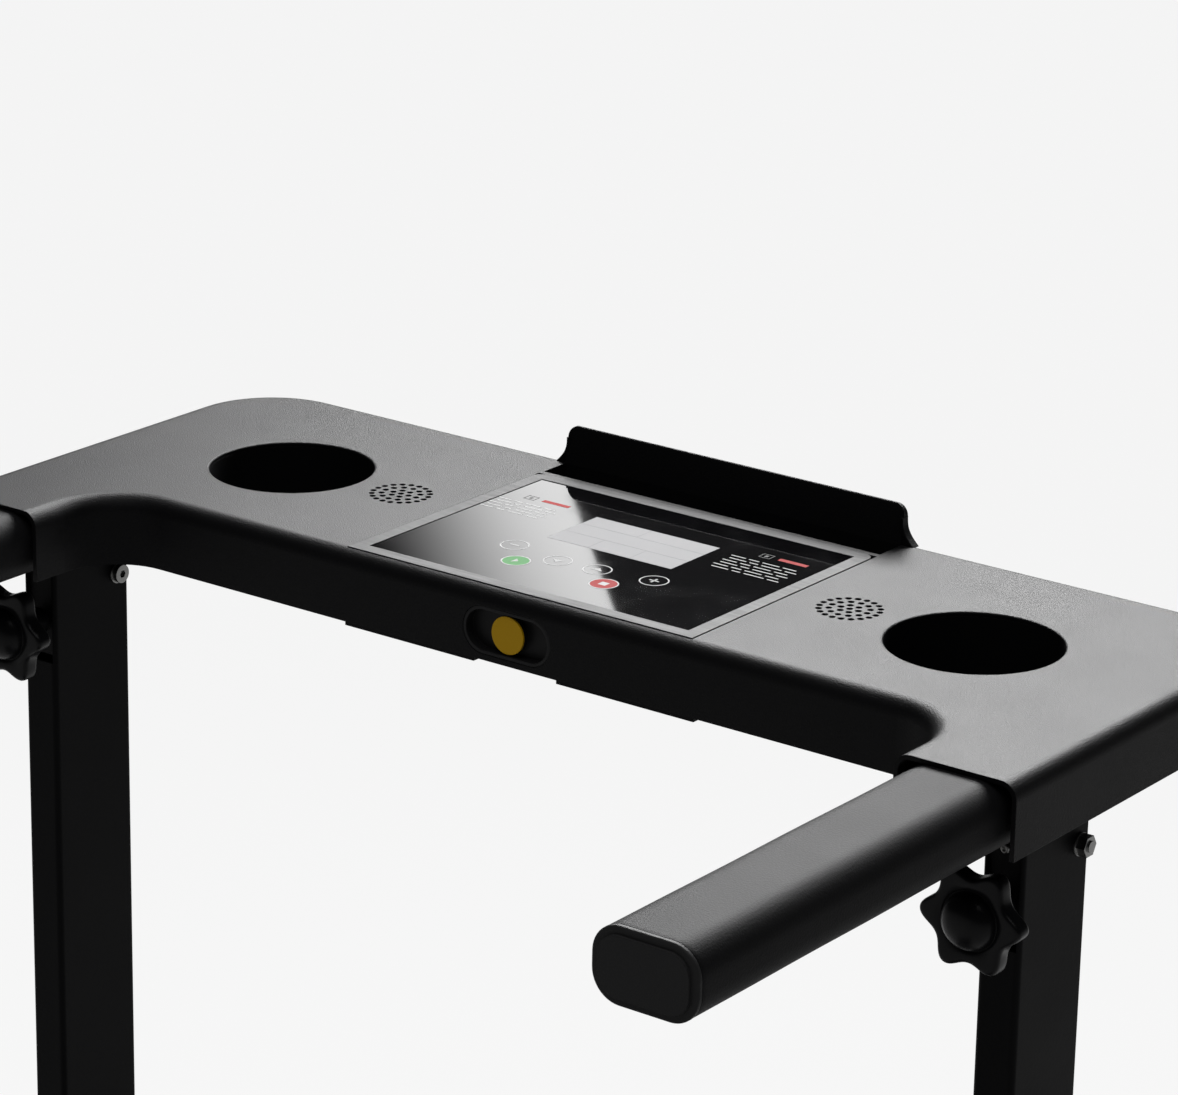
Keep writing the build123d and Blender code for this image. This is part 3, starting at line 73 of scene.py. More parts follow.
class Finish:
    """A Principled material that is built up with procedural detail, in the object's own metres."""

    def __init__(self, name, colour, roughness, metallic=0.0, ior=1.5):
        self.name = name
        self.material = bpy.data.materials.new(name)
        self.material.use_nodes = True
        self.tree = self.material.node_tree
        self.shader = self.tree.nodes["Principled BSDF"]
        self.colour = (*colour, 1.0)
        self.roughness = roughness
        self.set(Base_Color=self.colour, Roughness=roughness, Metallic=metallic, IOR=ior)
        self.place = self.add("ShaderNodeTexCoord").outputs["Object"]
        self.normal = None

    def set(self, **inputs):
        """Sets the shader's own sockets, named with underscores for spaces."""
        for key, value in inputs.items():
            self.shader.inputs[key.replace("_", " ")].default_value = value
        return self

    def add(self, kind, **settings):
        node = self.tree.nodes.new(kind)
        for key, value in settings.items():
            setattr(node, key, value)
        return node

    def link(self, source, target):
        self.tree.links.new(source, target)

    def textured(self, kind, scale, stretch, **settings):
        """A texture node at a scale, with the place stretched along its axes."""
        mapping = self.add("ShaderNodeMapping")
        mapping.inputs["Scale"].default_value = stretch
        self.link(self.place, mapping.inputs["Vector"])
        node = self.add(kind, **settings)
        node.inputs["Scale"].default_value = scale
        self.link(mapping.outputs["Vector"], node.inputs["Vector"])
        return node

    def noise(self, scale, detail=3.0, stretch=EVEN):
        node = self.textured("ShaderNodeTexNoise", scale, stretch)
        node.inputs["Detail"].default_value = detail
        return node.outputs["Fac"]

    def cells(self, scale, feature="F1"):
        return self.textured("ShaderNodeTexVoronoi", scale, EVEN, feature=feature).outputs["Distance"]

    def slanting_waves(self, scale, stretch=EVEN):
        settings = {"wave_type": "BANDS", "bands_direction": "DIAGONAL"}
        return self.textured("ShaderNodeTexWave", scale, stretch, **settings).outputs["Fac"]

    def ranged(self, value, low, high, to_low=0.0, to_high=1.0):
        """A value that goes from one number to another while its source goes from low to high."""
        node = self.add("ShaderNodeMapRange")
        self.link(value, node.inputs["Value"])
        for key, number in zip(("From Min", "From Max", "To Min", "To Max"), (low, high, to_low, to_high)):
            node.inputs[key].default_value = number
        return node.outputs["Result"]

    def multiplied(self, first, second):
        node = self.add("ShaderNodeMath", operation="MULTIPLY")
        self.link(first, node.inputs[0])
        self.link(second, node.inputs[1])
        return node.outputs["Value"]

    def tint(self, factor, colour):
        """Shifts the base colour to another where the factor is 1."""
        target = self.shader.inputs["Base Color"]
        node = self.add("ShaderNodeMix", data_type="RGBA")
        self.link(factor, node.inputs[MIX_FACTOR])
        first, second = (node.inputs[index] for index in MIX_COLOURS)
        if target.links:
            self.link(target.links[0].from_socket, first)
        else:
            first.default_value = self.colour
        second.default_value = (*colour, 1.0)
        self.link(node.outputs[MIX_RESULT], target)
        return self

    def mottle(self, scale, spread):
        """Slow changes of the colour's lightness over the surface."""
        lighter = tuple(min(1.0, channel * (1 + spread)) for channel in self.colour[:3])
        return self.tint(self.ranged(self.noise(scale, 4.0), 0.35, 0.65), lighter)

    def roughen(self, scale, spread, stretch=EVEN):
        """Changes of roughness, such as handling marks."""
        value = self.noise(scale, 4.0, stretch)
        result = self.ranged(value, 0.3, 0.7, self.roughness - spread, self.roughness + spread)
        self.link(result, self.shader.inputs["Roughness"])
        return self

    def round_edges(self, radius=0.0006):
        """Softens the light on the sharp edges of a machined or moulded piece."""
        node = self.add("ShaderNodeBevel", samples=4)
        node.inputs["Radius"].default_value = radius
        self.normal = node.outputs["Normal"]
        self.link(self.normal, self.shader.inputs["Normal"])
        return self

    def emboss(self, height, distance, strength=1.0):
        """Adds relief of a given depth, in metres."""
        node = self.add("ShaderNodeBump")
        node.inputs["Strength"].default_value = strength
        node.inputs["Distance"].default_value = distance
        self.link(height, node.inputs["Height"])
        if self.normal:
            self.link(self.normal, node.inputs["Normal"])
        self.normal = node.outputs["Normal"]
        self.link(self.normal, self.shader.inputs["Normal"])
        return self

    def painted_edge_highlight(self, colour, amount, radius):
        """Paler edges, broken up by noise: a painted highlight where the rounded edges catch the light."""
        bevel = self.add("ShaderNodeBevel", samples=4)
        bevel.inputs["Radius"].default_value = radius
        flat = self.add("ShaderNodeNewGeometry").outputs["Normal"]
        dot = self.add("ShaderNodeVectorMath", operation="DOT_PRODUCT")
        self.link(bevel.outputs["Normal"], dot.inputs[0])
        self.link(flat, dot.inputs[1])
        # An edge is where the rounded normal turns away from the flat one
        edge = self.ranged(dot.outputs["Value"], 0.97, 0.85, 0.0, amount)
        patches = self.ranged(self.noise(90.0, 5.0), 0.42, 0.62)
        return self.tint(self.multiplied(edge, patches), colour)


def moulded(name, colour, roughness, grain=1400.0, depth=0.00004, ior=1.45):
    """Injection-moulded plastic with a fine spark grain."""
    finish = Finish(name, colour, roughness, ior=ior)
    finish.mottle(14.0, 0.05).roughen(30.0, 0.012).round_edges()
    return finish.emboss(finish.noise(grain, 2.0), depth)


def coated(name, colour, roughness, ior=1.4):
    """Powder-coated steel with a faint orange peel."""
    finish = Finish(name, colour, roughness, ior=ior)
    finish.mottle(9.0, 0.06).roughen(22.0, 0.02).round_edges(0.0008)
    finish.emboss(finish.noise(420.0), 0.00006)
    return finish.emboss(finish.noise(2600.0, 2.0), 0.00002)


def plated(name, colour, roughness, stretch=EVEN):
    """Bare or plated metal; a stretch of its grain stands for turning marks."""
    finish = Finish(name, colour, roughness, metallic=1.0)
    finish.mottle(60.0, 0.2).roughen(240.0, 0.08).round_edges(0.0004)
    return finish.emboss(finish.noise(1500.0, 2.0, stretch), 0.00002)


def printed(name, colour):
    """Ink on glass or on plastic, with a slightly uneven gloss."""
    finish = Finish(name, colour, 0.5, ior=1.15)
    finish.set(Specular_IOR_Level=0.15).mottle(300.0, 0.08).roughen(500.0, 0.03)
    return finish.emboss(finish.noise(3000.0, 2.0), 0.000005)


def grip_foam():
    """Soft foam skin with a leathery grain."""
    finish = Finish("grip_foam", (0.006, 0.006, 0.0065), 0.58, ior=1.14)
    finish.mottle(25.0, 0.04).roughen(40.0, 0.008)
    finish.emboss(finish.cells(900.0), 0.00012, strength=0.6)
    return finish.emboss(finish.noise(1900.0), 0.00008)


def bezel_grey():
    """Brushed and lacquered frame of the panel."""
    finish = Finish("bezel_grey", (0.016, 0.016, 0.0165), 0.5, metallic=0.03, ior=1.16)
    finish.mottle(30.0, 0.12).roughen(700.0, 0.06, GLOSS_STREAKS_ALONG_X).round_edges(0.0005)
    finish.emboss(finish.noise(2200.0, 2.0, BRUSHED_ALONG_X), 0.00001)
    # Painted highlight: the bezel's edges are made paler where they would catch the light.
    return finish.painted_edge_highlight((0.12, 0.12, 0.12), amount=0.35, radius=0.0006)


def panel_black():
    """Black-backed glass with faint finger marks in its gloss."""
    finish = Finish("panel_black", (0.0012, 0.0012, 0.0014), 0.05)
    finish.mottle(40.0, 0.3)
    marks = finish.ranged(finish.noise(38.0, 6.0), 0.5, 0.75, 0.03, 0.055)
    finish.link(marks, finish.shader.inputs["Roughness"])
    return finish.emboss(finish.noise(6.0, 2.0), 0.00001)


def rubber():
    """Matt rubber of feet, pads and treads."""
    finish = Finish("rubber", (0.014, 0.014, 0.014), 0.75)
    finish.mottle(35.0, 0.4).roughen(120.0, 0.08).round_edges(0.0008)
    return finish.emboss(finish.noise(1100.0, 4.0), 0.00008)


def circuit_board():
    """Green board with paler raised tracks."""
    finish = Finish("circuit_board", (0.015, 0.14, 0.05), 0.35)
    tracks = finish.ranged(finish.cells(420.0, "DISTANCE_TO_EDGE"), 0.02, 0.05, 1.0, 0.0)
    finish.tint(tracks, (0.03, 0.24, 0.08)).round_edges()
    return finish.emboss(tracks, 0.00004)


def board():
    """Film-faced fibreboard."""
    finish = Finish("board", (0.11, 0.075, 0.045), 0.55)
    fibres = finish.ranged(finish.noise(160.0, 6.0, FIBRES_ALONG_Y), 0.4, 0.6)
    finish.tint(fibres, (0.19, 0.13, 0.08)).roughen(60.0, 0.06).round_edges()
    return finish.emboss(fibres, 0.00005)


def belt():
    """Walking belt: diamond weave cast into rubber, with a scuffed middle."""
    finish = Finish("belt", (0.02, 0.02, 0.021), 0.62)
    one_way = finish.slanting_waves(WEAVE_SCALE)
    other_way = finish.slanting_waves(WEAVE_SCALE, MIRRORED)
    weave = finish.multiplied(one_way, other_way)
    finish.tint(weave, (0.035, 0.035, 0.036))
    scuffs = finish.ranged(finish.noise(5.0, 6.0, SCUFFS_ALONG_Y), 0.45, 0.75, 0.0, 0.18)
    finish.tint(scuffs, (0.045, 0.044, 0.042)).roughen(18.0, 0.015)
    finish.emboss(weave, 0.0004)
    return finish.emboss(finish.noise(1600.0), 0.00005)


def build_finishes():
    """One finish for each of the record's material slots, by the slot's name."""
    made = (
        moulded("desk_plastic", (0.004, 0.004, 0.0044), 0.48, grain=1300.0, depth=0.00024, ior=1.165),
        moulded("black_plastic", (0.005, 0.005, 0.0055), 0.45, ior=1.15),
        coated("black_steel", (0.006, 0.006, 0.0065), 0.45, ior=1.15),
        coated("post_paint", (0.004, 0.004, 0.0044), 0.5, ior=1.12),
        moulded("cap_plastic", (0.02, 0.02, 0.0205), 0.5, grain=1000.0, depth=0.00012, ior=1.15),
        moulded("speaker_black", (0.01, 0.01, 0.01), 0.8),
        moulded("pocket_black", (0.006, 0.006, 0.0065), 0.5, ior=1.25),
        moulded("contact_yellow", (0.42, 0.24, 0.002), 0.5, ior=1.2),
        moulded("knob_plastic", (0.004, 0.004, 0.0045), 0.3, grain=2400.0, depth=0.00001, ior=1.2),
        moulded("nylon", (0.7, 0.69, 0.64), 0.5),
        moulded("cable_black", (0.012, 0.012, 0.012), 0.5),
        moulded("hood_plastic", (0.02, 0.02, 0.022), 0.5, grain=900.0, depth=0.00008),
        moulded("foot_rail_plastic", (0.016, 0.016, 0.018), 0.5, grain=700.0),
        moulded("button_black", (0.012, 0.012, 0.012), 0.3),
        moulded("rocker_red", (0.5, 0.02, 0.015), 0.25, grain=2400.0, depth=0.00001),
        moulded("wheel_plastic", (0.02, 0.02, 0.02), 0.65, grain=800.0),
        plated("zinc_steel", (0.2, 0.2, 0.196), 0.34),
        plated("roller_steel", (0.5, 0.5, 0.5), 0.28, TURNED_ROUND_X),
        plated("tinned_metal", (0.6, 0.6, 0.58), 0.3),
        plated("aluminium_sink", (0.6, 0.6, 0.6), 0.4),
        coated("motor_can", (0.04, 0.04, 0.042), 0.4),
        grip_foam(),
        bezel_grey(),
        panel_black(),
        moulded("lcd", (0.13, 0.13, 0.133), 0.5, grain=3000.0, depth=0.000005, ior=1.12),
        rubber(),
        circuit_board(),
        board(),
        belt(),
    )
    return {finish.name: finish for finish in made}


def build_inks():
    colours = {
        "white": (0.26, 0.26, 0.26),
        "pale": (0.1, 0.1, 0.1),
        "grey": (0.06, 0.06, 0.06),
        "red": (0.17, 0.006, 0.006),
        "green": (0.05, 0.15, 0.055),
        "dark": (0.02, 0.02, 0.02),
    }
    return {name: printed("ink_" + name, colour) for name, colour in colours.items()}


FINISHES = build_finishes()
INKS = build_inks()


def dress_cad_nodes():
    """Every carried CAD node takes the finish of its slot."""
    for part in frame["record"]["subparts"]:
        node = frame["nodes"][part["node"]]
        finish = FINISHES[part["material_slot"]].material
        if not node.material_slots:
            node.data.materials.append(finish)
        for holder in node.material_slots:
            holder.material = finish


# ---------------------------------------------------------------- shapes
def at_desk(x, y, z):
    """A point in the part's frame, from its place on the desk in millimetres."""
    return Vector((x * MM, PANEL_FRONT + y * MM, DESK_TOP + z * MM))


def new_piece(name, mesh, finish, body, smooth=True):
    """An object that moves with a body and takes the finish it is given."""
    mesh.name = name
    piece = bpy.data.objects.new(name, mesh)
    bpy.context.scene.collection.objects.link(piece)
    mesh.materials.append(finish.material)
    if smooth:
        mesh.shade_smooth()
    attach(piece, body)
    return piece


def as_mesh(shape):
    """The mesh of a finished bmesh, which is freed."""
    mesh = bpy.data.meshes.new("shape")
    shape.to_mesh(mesh)
    shape.free()
    return mesh


def circle(radius, steps):
    """Points of a circle round the origin, as pairs."""
    angles = [TURN * step / steps for step in range(steps)]
    return [(radius * math.cos(angle), radius * math.sin(angle)) for angle in angles]


def rounded_section(width, height, corner, steps=10):
    """Points of a rounded rectangle, as pairs, counter-clockwise."""
    points = []
    for turn, (x_sign, y_sign) in enumerate(((1, 1), (-1, 1), (-1, -1), (1, -1))):
        for step in range(steps + 1):
            angle = math.pi / 2 * (turn + step / steps)
            points.append((
                x_sign * (width / 2 - corner) + corner * math.cos(angle),
                y_sign * (height / 2 - corner) + corner * math.sin(angle),
            ))
    return points


def lofted(rings, capped=True):
    """A mesh through rings of points, each with the same number of points."""
    shape = bmesh.new()
    rows = [[shape.verts.new(point) for point in ring] for ring in rings]
    count = len(rows[0])
    for first, second in zip(rows, rows[1:]):
        for index in range(count):
            following = (index + 1) % count
            shape.faces.new((first[index], first[following], second[following], second[index]))
    if capped:
        shape.faces.new(list(reversed(rows[0])))
        shape.faces.new(rows[-1])
    bmesh.ops.recalc_face_normals(shape, faces=shape.faces)
    return as_mesh(shape)


def plates(boxes):
    """One mesh of many boxes, each given by its low and high corners."""
    shape = bmesh.new()
    for low, high in boxes:
        middle = (low + high) / 2
        size = high - low
        for vertex in bmesh.ops.create_cube(shape, size=1.0)["verts"]:
            vertex.co = middle + vertex.co * size
    return as_mesh(shape)


def box_round(x, y, half_width, half_depth, low, high):
    """Corners of a box in metres: its middle, its half sizes and its height."""
    return (Vector((x - half_width, y - half_depth, low)), Vector((x + half_width, y + half_depth, high)))


def flat_box(x, y, width, depth, low, high):
    """Corners of a thin box on the panel: its middle, its size and its height over the desk top."""
    return (at_desk(x - width / 2, y - depth / 2, low), at_desk(x + width / 2, y + depth / 2, high))


# ---------------------------------------------------------------- grips and knobs, in millimetres
GRIP_SLACK = 0.3
GRIP_CORNER = 14.8
GRIP_SWELL = 0.004
GRIP_SWELL_RATE = 0.055
GRIP_SPANS = 24
GRIP_ROLL = 3.6
GRIP_SEAM_HEIGHT = 0.25
GRIP_SEAM_REACH = 0.8
# How far along each end's rings lie, and how far in
GRIP_START = ((0.0, 0.7), (0.3, 0.25), (0.9, 0.05))
GRIP_FINISH = ((1.2, 0.4), (0.0, 1.6))

KNOB_LOBES = 6
KNOB_STEPS = 144
KNOB_BACK = -45.5
KNOB_DROP = 80.0
KNOB_WAVE = 3.3
KNOB_FLATTENING = 0.35
# Each ring: the radius of its circle, the share of the lobed outline in it, its distance forward of the back
KNOB_PROFILE = (
    (3.98, 0, -35.3), (3.98, 0, -20.3), (7.4, 0, -20.1), (7.6, 0, -19.7), (7.6, 0, 0.0), (9.0, 0, 0.3),
    (15.0, 0.4, 0.3), (21.5, 0.9, 0.2), (23.6, 1, 0.4), (24.5, 1, 1.2), (24.7, 1, 2.2), (24.7, 1, 7.4),
    (24.5, 1, 8.6), (23.9, 1, 9.5), (23.1, 1, 9.9), (22.0, 0.93, 10.0), (18.5, 0.35, 9.9), (16.2, 0, 9.6),
    (15.7, 0, 9.3), (15.3, 0, 8.7), (14.8, 0, 8.8), (14.6, 0, 9.6), (14.2, 0, 11.4), (13.3, 0, 13.4),
    (11.8, 0, 15.2), (9.6, 0, 16.8), (6.8, 0, 17.9), (3.6, 0, 18.4), (1.0, 0, 18.5),
)

SCREW_STEPS = 32
TONGUE_SCREW_PLACE = (314.0, -22.5, -53.0)
# Rings of a pan head with a socket: radius and height
TONGUE_SCREW_PROFILE = ((2.6, 0.0), (2.6, 1.2), (2.2, 1.9), (1.2, 2.3), (1.1, 1.5), (0.1, 1.4))


def grip_stations(length):
    """How far along the grip each ring lies, and how far in."""
    middle = length - 2 * GRIP_ROLL
    stations = list(GRIP_START)
    stations += [(GRIP_ROLL + middle * step / GRIP_SPANS, 0.0) for step in range(GRIP_SPANS + 1)]
    stations += [(length - from_end, inset) for from_end, inset in GRIP_FINISH]
    return stations


def add_grips():
    """Foam skins, a little slack, with a rolled edge at each end and the mould's seam underneath."""
    for side in SIDES:
        low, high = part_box("handle_grip_" + side)
        middle = (low + high) / 2
        width, length, height = (high - low) / MM
        rings = []
        for along, inset in grip_stations(length):
            swell = GRIP_SWELL * math.sin(along * GRIP_SWELL_RATE) * math.sin(along / length * math.pi)
            trim = 2 * inset + GRIP_SLACK
            ring = []
            for x, z in rounded_section(width - trim, height - trim, GRIP_CORNER - inset):
                seam = GRIP_SEAM_HEIGHT if z < 0 and abs(x) < GRIP_SEAM_REACH else 0.0
                raised = z * (1 + swell) + seam
                ring.append((middle.x + x * (1 + swell) * MM, low.y + along * MM, middle.z + raised * MM))
            rings.append(ring)
        grip = new_piece("grip_skin_" + side, lofted(rings), FINISHES["grip_foam"], "desk")
        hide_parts("handle_grip_" + side)


def add_star_knobs():
    """Moulded star knobs: six lobes round a dome that stands in a shallow ring groove."""
    for side in SIDES:
        low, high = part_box("star_knob_" + side)
        x_axis = (low.x + high.x) / 2 / MM
        rings = []
        for radius, share, forward in KNOB_PROFILE:
            ring = []
            for step in range(KNOB_STEPS):
                angle = TURN * step / KNOB_STEPS
                lobe = KNOB_WAVE * math.cos(KNOB_LOBES * angle)
                lobe += KNOB_FLATTENING * math.cos(2 * KNOB_LOBES * angle)
                reach = radius + share * lobe
                ring.append(at_desk(
                    x_axis + reach * math.cos(angle),
                    KNOB_BACK - forward,
                    reach * math.sin(angle) - KNOB_DROP,
                ))
            rings.append(ring)
        knob = new_piece("star_knob_moulding_" + side, lofted(rings), FINISHES["knob_plastic"],
                         "knob_" + side)
        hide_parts("star_knob_" + side)


def add_tongue_screws():
    """Small pan-head screws in the front of the steel tongues, just under the arms."""
    x_screw, y_screw, z_screw = TONGUE_SCREW_PLACE
    for side, sign in SIDES.items():
        rings = [
            [at_desk(sign * x_screw + across, y_screw - forward, z_screw + up)
             for across, up in circle(radius, SCREW_STEPS)]
            for radius, forward in TONGUE_SCREW_PROFILE
        ]
        new_piece("tongue_screw_" + side, lofted(rings), FINISHES["zinc_steel"], "desk")


# ---------------------------------------------------------------- console, in millimetres
# Heights over the desk top, which is level with the glass, of the films and inks on it
WINDOW_LEVELS = (-0.3, 0.03)
INK_LEVELS = (0.02, 0.06)
RING_LEVELS = (0.02, 0.07)
FILL_LEVELS = (0.02, 0.05)
SIGN_LEVELS = (0.05, 0.08)

WINDOW_PLACE = (0.0, 102.1)
WINDOW_SIZE = (81.6, 44.6)
GUIDE_WIDTH = 0.22
GUIDES_ACROSS = (110.4, 95.6)
# Each guide line along y: its x, its middle and its length
GUIDES_ALONG = ((-14.0, 88.0, 15.0), (13.5, 88.0, 15.0), (-4.0, 117.3, 13.8))

# Outer and inner radius; the fill is all but closed in the middle
KEY_RING = (8.0, 7.25)
KEY_FILL = (7.2, 0.05)
KEY_FILLS = {"start": "green", "stop": "red"}
KEYS = {
    "minus": (-46.0, 58.6),
    "start": (-29.8, 38.7),
    "down": (-12.9, 52.8),
    "up": (11.8, 54.5),
    "stop": (27.8, 38.6),
    "plus": (45.1, 59.2),
}
# Each sign is made of bars: the place of the bar's middle and its size
ARROW_STEPS = range(6)
KEY_SIGNS = {
    "minus": [(0, 0, 6.0, 1.1)],
    "plus": [(0, 0, 6.0, 1.1), (0, 0, 1.1, 6.0)],
    "stop": [(0, 0, 4.6, 4.6)],
    "start": [(-1.2 + 0.45 * step, 0, 0.5, 5.4 - 0.9 * step) for step in ARROW_STEPS],
    "up": [(0, 2.2 - 0.6 * step, 0.5 + 1.2 * step, 0.65) for step in ARROW_STEPS],
    "down": [(0, -2.2 + 0.6 * step, 0.5 + 1.2 * step, 0.65) for step in ARROW_STEPS],
}

# Each notice: its name, its left edge, its first line, its width and its number of lines
NOTICES = (("left", -103.0, 118.0, 46.0, 5), ("right", 52.0, 119.0, 49.0, 6))
NOTICE_PITCH = 4.1
NOTICE_INDENT = 1.5
DASH_DEPTH = 0.9
DASH_GAP = 0.045
DASH_SHARES = (0.22, 0.13, 0.26, 0.17)
SHORT_DASH = 0.85
SYMBOL_SHIFT = 0.32
SYMBOL_RISE = 10.0
# Bars of the symbol over each notice, as for the keys' signs
SYMBOL = ((0, 2.8, 7.0, 0.5), (0, -2.8, 7.0, 0.5), (-3.3, 0, 0.5, 5.6), (3.3, 0, 0.5, 5.6), (0, 0, 2.0, 2.6))
RED_BAR = (17.0, 0, 18.0, 3.4)

REST_FOOT_X = 112.0
REST_FOOT_HEIGHT = 15.0
REST_FOOT_REACH = 7.5
REST_FOOT_BACK = -1.0
REST_FOOT_CURVE = 1.4
REST_FOOT_STEPS = 12
REST_FOOT_SINK = 0.4
REST_FOOT_SKIN = 0.2
# Each ring of the gusset: its y and how far in its outline lies
REST_FOOT_RINGS = ((190.6, 0.3), (191.0, 0.0), (196.0, 0.0), (196.4, 0.3))

CUP_PLACE = (224.4, 86.0)
CUP_STEPS = 128
# Section of the lip: radius and height, back to its start
CUP_LIP_PROFILE = ((46.1, -2.0), (45.85, -1.0), (46.1, -0.35), (46.9, -0.02), (47.8, -0.05), (47.6, -0.6),
                   (46.6, -1.4), (46.1, -2.0))


def on_glass(name, mesh, finish):
    """A flat film or print on the panel's glass."""
    new_piece(name, mesh, finish, "desk", smooth=False)


def bars_at(x, y, bars, levels):
    """One mesh of flat bars round a place on the panel."""
    return plates([flat_box(x + dx, y + dy, width, depth, *levels) for dx, dy, width, depth in bars])


def add_display():
    """The display's window, a pale film in the glass, with its guide lines."""
    on_glass("display_window", plates([flat_box(*WINDOW_PLACE, *WINDOW_SIZE, *WINDOW_LEVELS)]),
             FINISHES["lcd"])
    lines = [(0.0, y, WINDOW_SIZE[0], GUIDE_WIDTH) for y in GUIDES_ACROSS]
    lines += [(x, y, GUIDE_WIDTH, depth) for x, y, depth in GUIDES_ALONG]
    on_glass("display_guides", bars_at(0.0, 0.0, lines, INK_LEVELS), INKS["pale"])


def ring_mesh(x, y, outer, inner, levels, steps=64):
    """A flat ring on the panel, between two levels."""
    low, high = levels
    return lofted([
        [at_desk(x + dx, y + dy, height) for dx, dy in circle(radius, steps)]
        for radius, height in ((inner, low), (outer, low), (outer, high), (inner, high), (inner, low))
    ], capped=False)


def add_keys():
    """Printed rings of the six touch keys, with plain signs inside them."""
    for key, (x, y) in KEYS.items():
        on_glass("key_ring_" + key, ring_mesh(x, y, *KEY_RING, RING_LEVELS), INKS["white"])
        if key in KEY_FILLS:
            disc = ring_mesh(x, y, *KEY_FILL, FILL_LEVELS)
            on_glass("key_fill_" + key, disc, INKS[KEY_FILLS[key]])
        on_glass("key_sign_" + key, bars_at(x, y, KEY_SIGNS[key], SIGN_LEVELS), INKS["white"])


def notice_dashes(x_left, y_top, width, lines):
    """Dashes of unequal length in rows, every second row a little indented."""
    dashes = []
    for line in range(lines):
        x = x_left + (line % 2) * NOTICE_INDENT
        for word, share in enumerate(DASH_SHARES):
            length = width * share * (1.0 if (word + line) % 2 else SHORT_DASH)
            dashes.append((x + length / 2, y_top - NOTICE_PITCH * line, length, DASH_DEPTH))
            x += length + width * DASH_GAP
    return dashes


def add_notices():
    """Short dashes where the panel carries small print, a symbol and a red bar above each block."""
    for name, x_left, y_top, width, lines in NOTICES:
        dashes = notice_dashes(x_left, y_top, width, lines)
        on_glass("notice_lines_" + name, bars_at(0.0, 0.0, dashes, INK_LEVELS), INKS["white"])
        place = (x_left + width * SYMBOL_SHIFT, y_top + SYMBOL_RISE)
        on_glass("notice_sign_" + name, bars_at(*place, SYMBOL, INK_LEVELS), INKS["grey"])
        on_glass("notice_bar_" + name, bars_at(*place, [RED_BAR], INK_LEVELS), INKS["red"])


def add_rest_feet():
    """Curved gussets where the tablet rest's ends meet the desk."""
    outline = [(REST_FOOT_BACK, REST_FOOT_HEIGHT), (REST_FOOT_SKIN, REST_FOOT_HEIGHT)]
    for step in range(REST_FOOT_STEPS - 1, -1, -1):
        share = step / REST_FOOT_STEPS
        flare = REST_FOOT_REACH * (1 - math.sin(math.pi / 2 * share)) ** REST_FOOT_CURVE
        outline.append((flare + REST_FOOT_SKIN, REST_FOOT_HEIGHT * share - REST_FOOT_SINK))
    outline.append((REST_FOOT_BACK, -REST_FOOT_SINK))
    for side, sign in SIDES.items():
        rings = [[at_desk(sign * (REST_FOOT_X + x - inset), y, z - inset) for x, z in outline]
                 for y, inset in REST_FOOT_RINGS]
        new_piece("rest_foot_" + side, lofted(rings), FINISHES["desk_plastic"], "desk",
                  smooth=False)


def add_cup_lips():
    """Thin lips round the cup wells, rolled over the moulding's edge."""
    x_cup, y_cup = CUP_PLACE
    for side, sign in SIDES.items():
        rings = [[at_desk(sign * x_cup + dx, y_cup + dy, height) for dx, dy in circle(radius, CUP_STEPS)]
                 for radius, height in CUP_LIP_PROFILE]
        new_piece("cup_lip_" + side, lofted(rings, capped=False), FINISHES["desk_plastic"], "desk")


# ---------------------------------------------------------------- base, in metres
PRINT_SINK = 0.0002
VENT_ROWS = 9
VENT_PITCH = 0.010
VENT_START = 0.125
VENT_COLUMN = 0.135
VENT_REACH = (0.055, 0.002)
VENT_RISE = 0.0005
HOOD_SEAM_LEVELS = (0.0865, 0.0875)
HOOD_SEAM_INSET = 0.02
HOOD_SEAM_PROUD = 0.0003
HOOD_SEAM_SINK = 0.0005
HOOD_SCREW_INSETS = (0.06, 0.14)
HOOD_SCREW_HEIGHT = 0.064
# Rings of a pan head with a socket, in millimetres: radius and distance out of the hood
HOOD_SCREW_PROFILE = ((3.9, -1.0), (3.9, 0.5), (3.3, 1.1), (2.0, 1.2), (1.9, 0.3), (0.1, 0.3))

PAD_ROWS = 60
PAD_COLUMNS = 4
PAD_INNER_X = 0.2125
PAD_PITCH = 0.011
PAD_REACH = 0.003
PAD_RISE = 0.0004
PAD_INSET = 0.02

JOINT_MARGIN = 0.004
JOINT_START, JOINT_END, JOINT_WIDTH = -0.36, -0.30, 0.002
JOINT_RISE = 0.0001
EDGE_LINE_MARGIN = 0.006
EDGE_LINE_REACH = 0.0015
EDGE_LINE_INSETS = (0.02, 0.025)

TREAD_RIBS = 36
TREAD_SINK = 0.0004
TREAD_DEPTH = 0.0008
TREAD_WIDTH = 0.013
TREAD_SWING = 0.04


def add_hood_vents(high):
    """Two columns of dark plates in the hood's top: painted shade where the vent openings are."""
    levels = (high.z - PRINT_SINK, high.z + VENT_RISE)
    slots = []
    for sign in SIDES.values():
        for row in range(VENT_ROWS):
            y = high.y - VENT_START - row * VENT_PITCH
            slots.append(box_round(sign * VENT_COLUMN, y, *VENT_REACH, *levels))
    # Painted shade: dark matt plates stand in for the shade inside the vent openings.
    new_piece("hood_vents", plates(slots), INKS["dark"], "base", smooth=False)


def add_hood_seams(low, high):
    """The parting line between the hood and the pan, along both flanks."""
    bottom, top = HOOD_SEAM_LEVELS
    front, back = low.y + HOOD_SEAM_INSET, high.y - HOOD_SEAM_INSET
    spans = (
        (low.x - HOOD_SEAM_PROUD, low.x + HOOD_SEAM_SINK),
        (high.x - HOOD_SEAM_SINK, high.x + HOOD_SEAM_PROUD),
    )
    lines = [(Vector((left, front, bottom)), Vector((right, back, top))) for left, right in spans]
    new_piece("hood_seams", plates(lines), INKS["dark"], "base", smooth=False)


